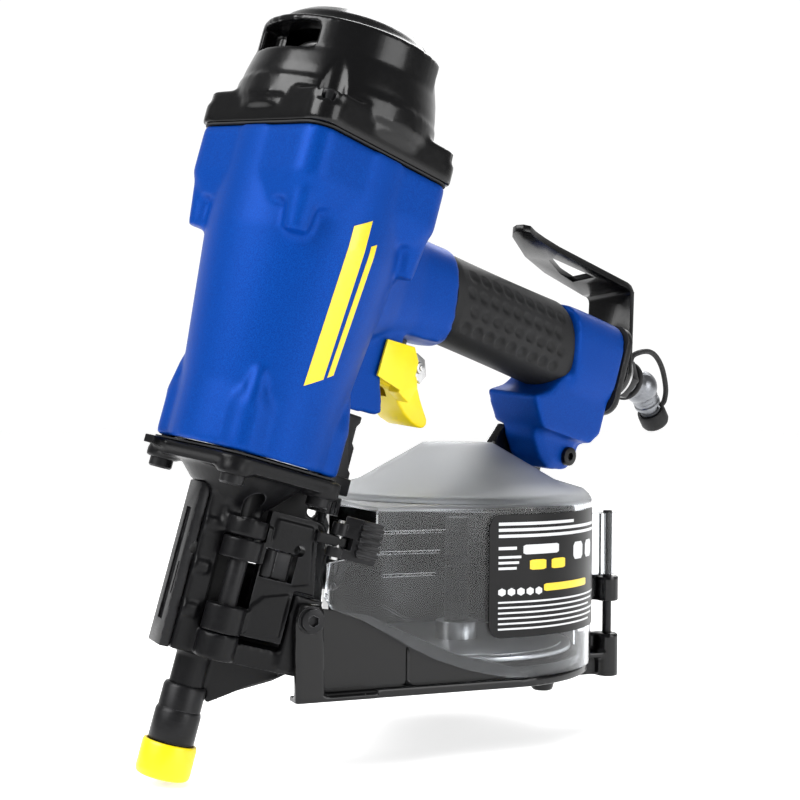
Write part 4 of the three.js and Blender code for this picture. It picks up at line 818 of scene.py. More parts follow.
class NAILER_OT_nose(PieceOperator):
    """Build the cast nose, its screws and its front guard"""
    bl_idname = "nailer.nose"
    bl_label = "Nose"

    def build(self, settings):
        made = cast("nose_cast", self.flange() + self.column() + self.knuckles(), self.rooms(), 0.75, 3, self.holes())
        hand_in(made, "housing", "black_cast", "nose_casting", angle=40)
        for i, (x, y) in enumerate(((-1, -1), (1, -1), (1, 1), (-1, 1))):
            socket_screw(f"nose_screw_{i + 1}", x * NOSE_BOLT, y * NOSE_BOLT, 114.2, -1, f"nose_bolt_{i + 1}")
        guard = loft([spatial([(-16.2, -8), (-12.3, -8), (-12.3, 8), (-16.2, 8)], "Z", 47),
                      spatial([(-16.2, -8), (-12.3, -8), (-12.3, 8), (-16.2, 8)], "Z", 108)])
        made = to_object("front_guard", along(softened(guard, 0.5), FEED))
        slots = [along(block(-17, -15.5, -6.4, -4.8, 66, 78), FEED), along(cross_rod(2.2, -20, 20, -12.2, 84), FEED),
                 along(block(-17, -15.2, -3, 3, 56, 98), FEED)]
        carve(made, *slots)
        hand_in(made, "housing", "black_steel", "front_plate")

    def flange(self):
        plate = loft([spatial(rounded(27, 27, 8), "Z", 114.5), spatial(rounded(27, 27, 8), "Z", FLANGE_TOP)])
        dish = rod(12.5, 103, 115, top=24)
        tabs = [block(-33, -24, 14, 20, 117, FLANGE_TOP), rod(3.4, 113.2, 119.8, 24, -24)]
        lip = loft([spatial(rounded(28, 28, 9), "Z", 117.2), spatial(rounded(28, 28, 9), "Z", 119.6)])
        pads = [rod(6.2, 112.6, 116, x * NOSE_BOLT, y * NOSE_BOLT) for x in (-1, 1) for y in (-1, 1)]
        return [plate, dish, lip] + tabs + pads

    def column(self):
        tube = rod(6.4, 14.5, 50, sides=SIDES)
        upper = along(block(-12, 9, -10, 10, 47, 108), FEED)
        shoulder = loft([[FEED @ p for p in spatial(rounded(8, 7.5, 4, 0, 0), "Z", 47)],
                         [FEED @ p for p in spatial(rounded(11, 10, 3, -1, 0), "Z", 50)]])
        wall = along(prism([(8, 53), (47, 53), (47, 70), (40, 104), (31, 106), (31, 115), (8, 115)], "Y", 4.2, 9), FEED)
        ledge = along(block(8, 43, -12, 9, 46.5, 54), FEED)
        fin = along(prism([(4, 48), (34, 48), (34, 43.5), (24, 38.5), (9, 29)], "Y", -1.6, 1.6), FEED)
        boss = along(block(28, 39.5, -13.3, -8.7, 48, 76), FEED)
        screw_eye = along(cross_rod(7.2, -13.3, -8.7, 35, 68.5), FEED)
        steps = [along(block(-12, -6, -11.2, -8, z, z + 4), FEED) for z in (60, 76, 92)]
        ribs = [along(prism([(10, 54), (13, 54), (27, 100), (24, 100)], "Y", 8.5, 10.2), FEED)]
        return [tube, upper, shoulder, wall, ledge, fin, boss, screw_eye] + steps + ribs

    def knuckles(self):
        made = []
        for low, high in ((47, 56.7), (92.3, 99)):
            made.append(along(rod(7.5, low, high, 3, -14), FEED))
        made.append(along(prism([(-6, -12), (3, -12), (9, -8), (-6, -8)], "Z", 92.3, 106), FEED))
        return made

    def rooms(self):
        keep_out = []
        keep_out.append(along(block(-3.9, 60, -6.5, 3.9, 56.7, 104.3), FEED))
        keep_out.append(along(block(11.6, 27.4, -23.5, -6, 56.7, 104.3), FEED))
        keep_out.append(along(block(-3.9, 11.7, -23.5, -6, 56.7, 92.2), FEED))
        keep_out.append(along(block(27.3, 60, -8.6, -6, 56.7, 104.3), FEED))
        keep_out.append(along(block(27.3, 60, -23.5, -6, 76.2, 104.3), FEED))
        pawl_slot = along(block(10, 28, 0, 20, 83, 93), FEED)
        plate_room = along(block(-17, -12, -8.3, 8.3, 100, 108.3), FEED)
        return keep_out + [pawl_slot, plate_room]

    def holes(self):
        made = [rod(4, 0, 130), along(rod(3.8, 0, 130, 3, -14), FEED), along(cross_rod(2.8, -30, -8, 35, 68.5), FEED)]
        made += [rod(2.8, 100, 130, x * NOSE_BOLT, y * NOSE_BOLT) for x in (-1, 1) for y in (-1, 1)]
        made += [rod(5.3, 100, 114.4, x * NOSE_BOLT, y * NOSE_BOLT) for x in (-1, 1) for y in (-1, 1)]
        return made


class NAILER_OT_contact(PieceOperator):
    """Build the contact foot, its tip, the link and the depth wheel"""
    bl_idname = "nailer.contact"
    bl_label = "Contact foot"

    def build(self, settings):
        sleeve = lathe([(6.7, 2), (8, 2), (8, 33.2), (7.4, 34.5), (6.7, 34.5)])
        band = lathe([(6.8, 13.4), (8.6, 13.4), (8.6, 24), (8.0, 25.5), (6.8, 25.5)])
        outline = [(-3, 27), (8, 27), (36, 41), (43, 46), (43, 104), (41, 107), (37, 107), (35, 104), (35, 50),
                   (8, 33), (-3, 33)]
        arm = along(together(block(-3, 5, 7, 10.5, 27, 33), prism(outline, "Y", 9.5, 13)), FEED)
        screw = along(rod(2.3, 104, 120.5, STUD_U, 11.25), FEED)
        threads = [along(rod(2.45, 108.5 + k, 109 + k, STUD_U, 11.25), FEED) for k in range(12)]
        foot = softened(together(sleeve, band, arm, screw, *threads), 0.25)
        made = to_object("foot_slider", foot)
        hand_in(made, "contact_foot", "black_steel", "contact_foot")
        piece("tip_cup", lathe([(5.5, 0), (8.6, 0), (9.6, 0.5), (10.1, 1.6), (10.2, 3), (10.2, 11.8), (9.8, 13),
                                (8.9, 13), (8.9, 1.9), (5.5, 1.9)]),
              "contact_foot", "yellow_plastic", "no_mar_tip", bevel=0.3)
        wheel = together(rod(5.6, 108.3, 115.3, 0, 0), *[
            along(block(-0.75, 0.75, 5.0, 6.45, 108.3, 115.3), Matrix.Rotation(2 * math.pi * k / 20, 4, "Z"))
            for k in range(20)])
        made = to_object("adjuster_wheel", along(wheel, FEED @ Matrix.Translation((STUD_U, 11.25, 0))))
        carve(made, along(rod(2.6, 107, 117, STUD_U, 11.25), FEED))
        hand_in(made, "depth_wheel", "black_steel", "depth_wheel")
        shelf = block(36.3, 47, -9.5, 7.5, 116.6, 123.5)
        sides = [prism([(38.5, 117.5), (47.4, 117.5), (47.4, 126), (46, 127), (46, 136), (44.5, 137.5), (44.5, 144),
                        (46, 146), (46, 148.5), (39.5, 148.5), (38.5, 147)], "Y", *sorted((s * 5, s * 7.5)))
                 for s in (-1, 1)]
        made = to_object("link_plate", softened(together(shelf, *sides), 0.5))
        carve(made, along(rod(2.6, 115, 122, STUD_U, 11.25), FEED))
        hand_in(made, "contact_link", "black_steel", "contact_link")
        spring = coil_spring("contact_coil", 1.8, 0.36, 125, 161.6, 16, 38.4, 0)
        hand_in(spring, "housing", "bright_steel", "contact_spring")
        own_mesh(spring)


class NAILER_OT_door(PieceOperator):
    """Build the nose door with its hinge rod, latch and check pawl"""
    bl_idname = "nailer.door"
    bl_label = "Nose door"

    def build(self, settings):
        outline = [(3, 57), (27, 57), (27, 77), (35.3, 77), (29.8, 104), (11, 104), (11, 91.7), (3, 91.7)]
        plate = prism(outline, "Y", -13.5, -8.7)
        raised_field = prism([(13.5, 79), (26, 79), (32.5, 81), (28.2, 101.5), (14, 101.5)], "Y", -14.2, -13.3)
        low_field = prism([(12, 59), (25.5, 59), (25.5, 75.5), (16, 72.5), (12, 68)], "Y", -14.2, -13.3)
        back_rib = block(13, 25, -9.7, -4.7, 62, 73)
        arm = block(29.3, 41.3, -17, -12.5, 97, 101)
        barrels = [rod(7.5, 57, 67, 3, -14), rod(7.5, 84, 91.7, 3, -14)]
        ribs = [block(10, 13, -14.6, -13, 84, 98), block(9, 12, -14.6, -13, 58, 66)]
        made = to_object("door_plate", together(plate, raised_field, low_field, back_rib, arm, *barrels, *ribs))
        grown = made.modifiers.new("join", "REMESH")
        grown.mode = "VOXEL"
        grown.voxel_size = 0.45 * MM
        even = made.modifiers.new("soften", "SMOOTH")
        even.iterations = 3
        apply_modifiers(made)
        carve(made, block(-20, 11.5, -30, 0, 67, 84), rod(3.8, 40, 120, 3, -14), block(12, 25, -15, 0, 79.5, 90.5),
              rod(8.3, 92, 110, 3, -14), rod(1.8, 76, 93, 15, -11.2), rod(1.9, 90, 110, 38.3, -15.1),
              cross_rod(2.2, -20, 0, 25, 92))
        made.data.transform(FEED)
        hand_in(made, "nose_door", "black_cast", "nose_door", angle=40)
        piece("hinge_rod", along(rod(3.5, 47.5, 99.5, 3, -14), FEED), "housing", "black_steel", "door_hinge_pin", bevel=0.5)
        made = to_object("stop_pawl", along(softened(together(rod(2.6, 80, 90, 15, -11.2),
                         block(14, 23, -12.2, -9.7, 80, 90), block(20, 23, -12, -4.7, 80, 90),
                         rod(1.5, 77, 92.5, 15, -11.2)), 0.25), FEED))
        hand_in(made, "check_pawl", "black_steel", "check_pawl")
        self.latch()

    def latch(self):
        lever = prism([(38.5, -17.5), (41, -18.5), (46, -20), (53, -20), (53, -17), (45, -16), (39.5, -14.2)], "Z", 93, 109)
        pad = [block(44, 53, -22, -19, 96 + 2.4 * k, 97.6 + 2.4 * k) for k in range(5)]
        pad.append(block(44.6, 52.4, -21, -18.5, 95, 109))
        eye = rod(3.4, 93, 106, 38.3, -15.1)
        made = to_object("latch_lever", softened(together(lever, eye, *pad), 0.4))
        carve(made, block(0, 42.7, -30, 0, 96.7, 101.3), rod(1.9, 80, 120, 38.3, -15.1))
        made.data.transform(FEED)
        hand_in(made, "door_latch", "black_steel", "door_latch")
        piece("latch_rod", along(rod(1.6, 92, 107, 38.3, -15.1), FEED), "nose_door", "bright_steel", "latch_pin", bevel=0.3)


def cut_shape(shape, *cutters):
    """Cuts a shape and gives back its mesh, in millimetres."""
    made = carve(to_object("workpiece", shape), *cutters)
    bm = bmesh.new()
    bm.from_mesh(made.data)
    bmesh.ops.scale(bm, vec=(1 / MM,) * 3, verts=bm.verts)
    bpy.data.objects.remove(made)
    return bm


def united(name, *shapes):
    """Joins closed shapes into one clean solid with no faces inside it."""
    made = to_object(name, shapes[0])
    for shape in shapes[1:]:
        other = to_object("other", shape)
        change = made.modifiers.new("join", "BOOLEAN")
        change.operation = "UNION"
        change.solver = "EXACT"
        change.object = other
        apply_modifiers(made)
        bpy.data.objects.remove(other)
    return made


def can_plan(radius, front_u, near_v, far_v, steps=96):
    """Plan of the canister: a round back with straight sides that close in on the nose."""
    tangent = math.atan2(far_v, front_u) + 2 * math.pi - math.acos(radius / math.hypot(front_u, far_v))
    arc = circle(radius, 0, 0, steps, -math.pi / 2, tangent + math.pi / 2, closed=False)
    return arc + [(front_u, far_v), (front_u, -near_v)]


def tray(inset, front_u, low, high):
    radius = CAN_RADIUS - inset
    return prism(can_plan(radius, front_u, radius, -36 - inset), "Z", low, high)


class NAILER_OT_feed(PieceOperator):
    """Build the feed cylinder, its piston, pawl and spring"""
    bl_idname = "nailer.feed"
    bl_label = "Feed"

    def build(self, settings):
        body = together(long_rod(8.5, 30, 52, 22, 88), long_rod(8.9, 47, 52, 22, 88), block(30, 33.4, 9.3, 22, 82, 94))
        made = to_object("feed_barrel", softened(body, 0.4))
        carve(made, together(long_rod(6, 32, 53, 22, 88)), together(long_rod(2.8, 29, 33, 22, 88)))
        made.data.transform(FEED)
        hand_in(made, "housing", "black_cast", "feed_cylinder")
        made = to_object("feed_end_cap", softened(long_rod(8.5, 52.3, 56, 22, 88), 0.8))
        carve(made, long_rod(3, 54, 57, 22, 88, sides=6))
        made.data.transform(FEED)
        hand_in(made, "housing", "black_steel", "feed_cap")
        piston = together(long_rod(5.7, 37, 41, 22, 88), long_rod(2.5, 20, 38, 22, 88))
        yoke = [block(13, 21.5, 9.6, 26, 90.3, 92.5), block(13, 21.5, 9.6, 26, 83.5, 85.7), block(13, 21.5, 17, 26, 85, 91)]
        made = to_object("feed_slider", softened(together(piston, *yoke), 0.3))
        carve(made, rod(1.8, 78, 98, 17, 13))
        made.data.transform(FEED)
        hand_in(made, "feed_piston", "bright_steel", "feed_piston")
        pawl = together(rod(3, 86, 90, 17, 13), prism([(13.5, 4.5), (15.5, 4.6), (17, 7), (17, 13), (14, 13)], "Z", 86, 90),
                        rod(1.5, 83.7, 92.3, 17, 13))
        piece("feed_finger", along(pawl, FEED), "feed_pawl", "bright_steel", "feed_pawl", bevel=0.2)
        spring = coil_spring("feed_coil", 4.4, 0.55, 41.4, 51.9, 4)
        turn = FEED @ Matrix.Translation((0, 22, 88)) @ Matrix.Rotation(math.pi / 2, 4, "Y")
        spring.data.transform(Matrix.Scale(MM, 4) @ turn @ Matrix.Scale(1 / MM, 4))
        hand_in(spring, "housing", "bright_steel", "feed_spring")
        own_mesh(spring)


class NAILER_OT_magazine(PieceOperator):
    """Build the canister's pan, its platform, post and bracket"""
    bl_idname = "nailer.magazine"
    bl_label = "Magazine"

    def build(self, settings):
        made = cast("magazine_pan", self.shapes(), (), 0.85, 3, self.openings())
        made.data.transform(self.in_metres(CAN))
        hand_in(made, "housing", "black_enamel", "magazine_base", angle=40)
        for name, shape in (("pan_far_wall", self.far_wall()), ("pan_skirt", self.skirt())):
            sheet = to_object(name, shape)
            carve(sheet, *self.openings())
            sheet.data.transform(self.in_metres(CAN))
            hand_in(sheet, "housing", "black_enamel", angle=40)
        self.small_pieces()
        self.bracket()

    @staticmethod
    def in_metres(matrix):
        return Matrix.Scale(MM, 4) @ matrix @ Matrix.Scale(1 / MM, 4)

    def openings(self):
        """Bores for the hinge rod, room for its ears and the hole for the screw."""
        return [rod(2.3, -54, 20, 70, -8), rod(4.8, -15.2, 20, 70, -8), self.ear_room(), self.screw_hole()]

    def far_wall(self):
        return cut_shape(tray(0, -66, CAN_FLOOR - 1, CAN_RIM - 0.3), tray(2, -71, CAN_FLOOR - 2, CAN_RIM + 1),
                         block(-100, 100, -80, -3, -80, 80), block(-100, -63, -80, 80, CAN_FLOOR, 80))

    def skirt(self):
        top = prism([(-90, -15), (-62, -20), (-25, -37), (0, CAN_FLOOR + 4), (70, CAN_FLOOR + 4), (70, 80),
                     (-90, 80)], "Y", -80, 80)
        return cut_shape(prism(can_plan(53, -81, 53, -36), "Z", CAN_FLOOR - 0.5, -10),
                         prism(can_plan(50.6, -86, 50.6, -38), "Z", CAN_FLOOR - 2, -9),
                         block(-100, 100, -10, 80, -80, 80), block(-100, -61, -48, 80, -80, 80), top)

    def ear_room(self):
        return block(50, 90, -30, -6.5, -14.2, 22)

    def screw_centre(self):
        return CAN.inverted() @ FEED @ Vector((35, -13.5, 68.5))

    def screw_hole(self):
        centre = self.screw_centre()
        return cross_rod(2.8, -64, -55, centre.x, centre.z)

    def shapes(self):
        floor = prism(can_plan(56, -81, 56, -36), "Z", CAN_FLOOR - 3, CAN_FLOOR)
        rim = cut_shape(prism(can_plan(56.2, -81, 56.2, -36), "Z", CAN_FLOOR - 4, CAN_FLOOR - 0.6),
                        prism(can_plan(52.5, -77, 52.5, -33), "Z", CAN_FLOOR - 6, CAN_FLOOR - 2.5))
        rest = rod(4.2, CAN_FLOOR - 11, CAN_FLOOR - 1, 26, -30, top=7)
        lugs = [rod(5, -59, -40, 70, -8), rod(5, -26, -14.5, 70, -8), block(56.5, 70, -5.6, -2, -59, -40),
                block(56.5, 70, -5.6, -2, -26, -14.5), block(56, 60.5, -5.6, 3, -50, -14.5),
                block(48, 68, -12, 0, CAN_FLOOR - 3, CAN_FLOOR - 0.6)]
        tab_foot = block(-93.5, -60, -61.1, -53.5, CAN_FLOOR - 3, CAN_FLOOR - 0.6)
        tab = prism([(-93.5, -49), (-82, -49), (-82.6, -19), (-84, -14), (-92, -13), (-94, -20)], "Y", -61.1, -58.1)
        gussets = [block(-81, -79, -52, -40, CAN_FLOOR - 1, -24), block(-46, -44.4, -54.2, -50, CAN_FLOOR, -33)]
        return [floor, rim, rest, tab_foot, tab] + lugs + gussets

    def small_pieces(self):
        centre = self.screw_centre()
        head = together(cross_rod(4.4, -64.4, -61.4, centre.x, centre.z), cross_rod(5.2, -61.9, -61.4, centre.x, centre.z),
                        cross_rod(2.5, -62.1, -54.3, centre.x, centre.z))
        made = to_object("magazine_fixing", softened(head, 0.35))
        carve(made, cross_rod(2.2, -66, -62.6, centre.x, centre.z, sides=6))
        made.data.transform(self.in_metres(CAN))
        hand_in(made, "housing", "black_steel", "magazine_screw")
        piece("cover_hinge_rod", along(rod(2, -53.5, 14, 70, -8), CAN), "housing", "black_steel", "cover_hinge_pin",
              bevel=0.4)
        post = together(rod(5, -47.2, 12), *[rod(5.25, -30 + 5 * k, -28.5 + 5 * k) for k in range(8)])
        piece("coil_post", along(softened(post, 0.3), CAN), "housing", "seal_rubber", "nail_post", bevel=0)
        made = to_object("coil_platform", softened(together(rod(49, -42, -40, sides=SIDES),
                         rod(45, -40.2, -39.4, sides=SIDES), rod(9, -41, -32)), 0.4))
        carve(made, rod(5.3, -50, -20))
        made.data.transform(self.in_metres(CAN))
        hand_in(made, "nail_platform", "bright_steel", "nail_platform")

    def bracket(self):
        ear = prism([(144, 158), (149, 168.5), (181, 168.5), (181, 151), (163, 149)], "Y", 9.3, 14)
        riser = along(cut_shape(rod(63.5, -49.5, 40, sides=SIDES), rod(58.5, -51, 41, sides=SIDES),
                                block(-100, 32, -100, 100, -80, 80), block(-100, 100, -100, 33, -80, 80)), CAN)
        bridge = block(152, 176, 10, 26, 151, 158)
        shoulder = along(block(34, 50, 33, 48, 30, 40), CAN)
        made = cast("magazine_arm", [ear, riser, bridge, shoulder], (), 0.8, 3, [cross_rod(3.3, 0, 40, 173, 161.5)])
        hand_in(made, "housing", "black_enamel", "magazine_bracket", angle=40)
        bolt = together(cross_rod(3, -10, 15, 173, 161.5), cross_rod(4.2, -12.3, -9.3, 173, 161.5))
        made = to_object("arm_bolt", softened(bolt, 0.35))
        carve(made, cross_rod(2, -14, -10.4, 173, 161.5, sides=6))
        hand_in(made, "housing", "black_steel", "bracket_bolt")


class NAILER_OT_cover(PieceOperator):
    """Build the clear magazine cover and the label on it"""
    bl_idname = "nailer.cover"
    bl_label = "Magazine cover"

    def build(self, settings):
        made = united("cover_shell", self.wall(), self.top(), self.wedge(), *self.ear(), *self.ribs())
        carve(made, rod(2.3, -40, 30, 70, -8))
        made.data.transform(NAILER_OT_magazine.in_metres(CAN))
        hand_in(made, "magazine_cover", "clear_plastic", "magazine_cover", angle=30)
        self.label()

    def lower_edge(self):
        return [(-81, -12), (-78, -16.5), (-65, -21.5), (-55, -27), (-45, -33), (-35, -38), (-25, -41.6), (-15, -44.4),
                (-5, -46.4), (8, -47.2)]

    def wall(self):
        front = [(-100, 60), (-60, 60), (-60, 4), (-79, 1)] + self.lower_edge() + [(100, -47.2), (100, -80), (-100, -80)]
        return cut_shape(prism(can_plan(57.5, -90, 57.5, -36), "Z", -47.2, 20),
                         prism(can_plan(55.5, -95, 55.5, -38), "Z", -49, 22),
                         block(-101, 101, -6.4, 81, -81, 81), block(-100, -84, -80, 80, -80, 80),
                         block(-100, -50, -55, 80, -80, 80), prism(front, "Y", -70, 0))

    def top(self):
        return lathe([(0, 42), (15, 42), (41.5, 26.5), (53, 23), (55.5, 20.1), (55.5, 18.5), (57.5, 18.5), (57.5, 20.5),
                      (56.4, 22.8), (54, 25), (42, 28.5), (15, 44), (0, 44)], 128)

    def wedge(self):
        return cut_shape(prism(can_plan(57.4, -60, 57.4, -32), "Z", 19.6, 21.4), rod(54.5, 0, 30, sides=128))

    def ear(self):
        return [rod(4.4, -13.9, 13, 70, -8), block(55.3, 70, -12, -6.7, -13.8, 12.9)]

    def ribs(self):
        made = [softened(block(-66 + 4 * k, -32 - 2 * k, -58.2, -57, h, h + 1.2), 0.3)
                for k, h in enumerate((11.2, 3.4, -5.2))]
        edge = self.lower_edge()
        lip = [(u, h + 0.1) for u, h in edge] + [(u, h + 1.9) for u, h in reversed(edge)]
        line = [(u + 1.5, h + 8.2) for u, h in edge[:-1]] + [(u + 1.5, h + 9.2) for u, h in reversed(edge[:-1])]
        made.append(prism(lip, "Y", -59, -56.8))
        made.append(prism(line, "Y", -58.2, -57))
        made.append(prism([(-80.6, -13), (-78.6, -13), (-78.4, 0.8), (-80.4, 0.8)], "Y", -59, -56.8))
        return made

    def patch(self, s0, s1, h0, h1, lift, corner=0.0):
        """A thin sheet on the wall: s runs along the flat side and on round the back."""
        bm = bmesh.new()
        columns = max(2, int(abs(s1 - s0) / 1.2))
        bmesh.ops.create_grid(bm, x_segments=columns, y_segments=1, size=0.5)
        for vert in bm.verts:
            along_s = vert.co.x + 0.5
            s = s0 + (s1 - s0) * along_s
            inside = min(s - s0, s1 - s, corner) if corner else 0.0
            pull = corner - math.sqrt(max(corner ** 2 - (corner - inside) ** 2, 0.0)) if corner else 0.0
            h = (h0 + h1) / 2 + math.copysign((h1 - h0) / 2 - pull, vert.co.y)
            radius = CAN_RADIUS + lift
            if s <= 0:
                vert.co = (s, -radius, h)
            else:
                angle = -math.pi / 2 + s / CAN_RADIUS
                vert.co = (radius * math.cos(angle), radius * math.sin(angle), h)
        bmesh.ops.recalc_face_normals(bm, faces=bm.faces)
        bmesh.ops.solidify(bm, geom=bm.faces[:], thickness=0.12)
        bmesh.ops.recalc_face_normals(bm, faces=bm.faces)
        return along(bm, CAN)

    def label(self):
        sheet = to_object("label_sheet", self.patch(-13, 62, -31, 17.5, 0.3, 5))
        hand_in(sheet, "magazine_cover", "label_print", slot="grip_rubber")
        white, yellow = [], []
        for k, end in enumerate((30, 54, 56)):
            white.append(self.patch(-9, end, 13.2 - 2.4 * k, 14.4 - 2.4 * k, 0.45))
        white.append(self.patch(-9, -1, 3.6, 4.8, 0.45))
        white.append(self.patch(2, 20, 1.6, 5.4, 0.45, 0.5))
        for k in range(3):
            white.append(self.patch(-9, 1 - k, 0.2 - 2.2 * k, 1.2 - 2.2 * k, 0.45))
        for k in range(2):
            yellow.append(self.patch(5 + 11 * k, 13 + 11 * k, -4.6, -0.6, 0.45, 0.4))
            white.append(self.patch(30 + 11 * k, 38 + 11 * k, -2, 5, 0.45, 1.5))
        yellow.append(self.patch(12, 42, -13.4, -10.4, 0.45, 0.4))
        for k in range(5):
            white.append(self.patch(-9 + 4.2 * k, -5.8 + 4.2 * k, -14.6, -11.4, 0.45, 0.8))
        for k in range(6):
            white.append(self.patch(-9, 56 - 5 * (k % 3), -17.4 - 2.1 * k, -16.7 - 2.1 * k, 0.45))
        hand_in(to_object("label_white_bars", together(*white)), "magazine_cover", "white_print", slot="clear_plastic")
        hand_in(to_object("label_yellow_bars", together(*yellow)), "magazine_cover", "yellow_print", slot="yellow_plastic")


class NAILER_OT_trigger(PieceOperator):
    """Build the trigger, its arm and its valve"""
    bl_idname = "nailer.trigger"
    bl_label = "Trigger"

    def build(self, settings):
        blade = [(41, 164), (41, 176), (58, 177), (66, 172), (69.5, 168), (73.3, 163), (76.8, 159.2), (80, 156),
                 (80.6, 153.8), (79.3, 152.2), (77, 151.5), (71.5, 152.6), (66, 155), (61, 158.6), (57, 163)]
        made = to_object("trigger_lever", softened(prism(blade, "Y", -9.5, 9.5), 1.3, 3, 25))
        carve(made, cross_rod(2.3, -20, 20, 46, 172), block(30, 66.8, -3.6, 3.6, 160, 180),
              cross_rod(1.8, -20, 20, 63.5, 170), solver="EXACT")
        hand_in(made, "trigger", "yellow_plastic", "trigger", angle=45)
        self.wings()
        piece("trigger_pivot_pin", cross_rod(2, -13.9, 13.9, 46, 172), "housing", "bright_steel", "trigger_pin", bevel=0.4)
        piece("arm_pivot_pin", cross_rod(1.5, -9.7, 9.7, 63.5, 170), "trigger", "bright_steel", "arm_pin", bevel=0.3)
        arm = prism([(50, 166), (49, 169), (58, 173), (64.5, 172.6), (66, 171.2), (66, 168.8), (64.5, 167.4), (62, 167)], "Y", -3.2, 3.2)
        made = to_object("trigger_rocker", softened(arm, 0.5))
        carve(made, cross_rod(1.8, -20, 20, 63.5, 170))
        hand_in(made, "trigger_arm", "bright_steel", "trigger_arm")
        piece("valve_cartridge", lathe([(2.3, 181), (6.2, 181), (7, 182), (7, 186), (6.2, 186.6), (6.2, 188.4), (7, 189),
                                        (7, 202), (2.3, 202)], PIN_SIDES, Matrix.Translation((57, 0, 0))),
              "housing", "black_steel", "trigger_valve_body", bevel=0.2)
        piece("valve_button", rod(2, 175.2, 190, 57, 0), "valve_stem", "bright_steel", "valve_stem", bevel=0.5)


    def wings(self):
        """Side plates of the trigger, outside the ears, with the steel lever beside them."""
        face = [(41, 165), (41.5, 180), (57, 181), (61, 176), (61.5, 166), (56, 162.5)]
        for index, (low, high, web_low, web_high) in enumerate(((-15.4, -14.2, -15.4, -9), (14.2, 15.4, 9, 15.4))):
            made = united(f"trigger_wing_{index + 1}", prism(face, "Y", low, high),
                          prism([(54.5, 161.5), (61, 159), (64, 166), (62, 170), (54.5, 170)], "Y", web_low, web_high))
            edge = made.modifiers.new("edge", "BEVEL")
            edge.width = 0.5 * MM
            edge.segments = 2
            edge.limit_method = "ANGLE"
            apply_modifiers(made)
            hand_in(made, "trigger", "yellow_plastic")
        lever = together(prism([(60.5, 171), (66.5, 168), (69, 172), (66, 178), (61, 179.5), (59, 176)], "Y", -13.6, -12.2),
                         cross_rod(2.4, -15.2, -12.4, 63.5, 174), cross_rod(1.2, -15.8, -15, 63.5, 174))
        piece("trigger_side_lever", lever, "trigger", "bright_steel", bevel=0.3)


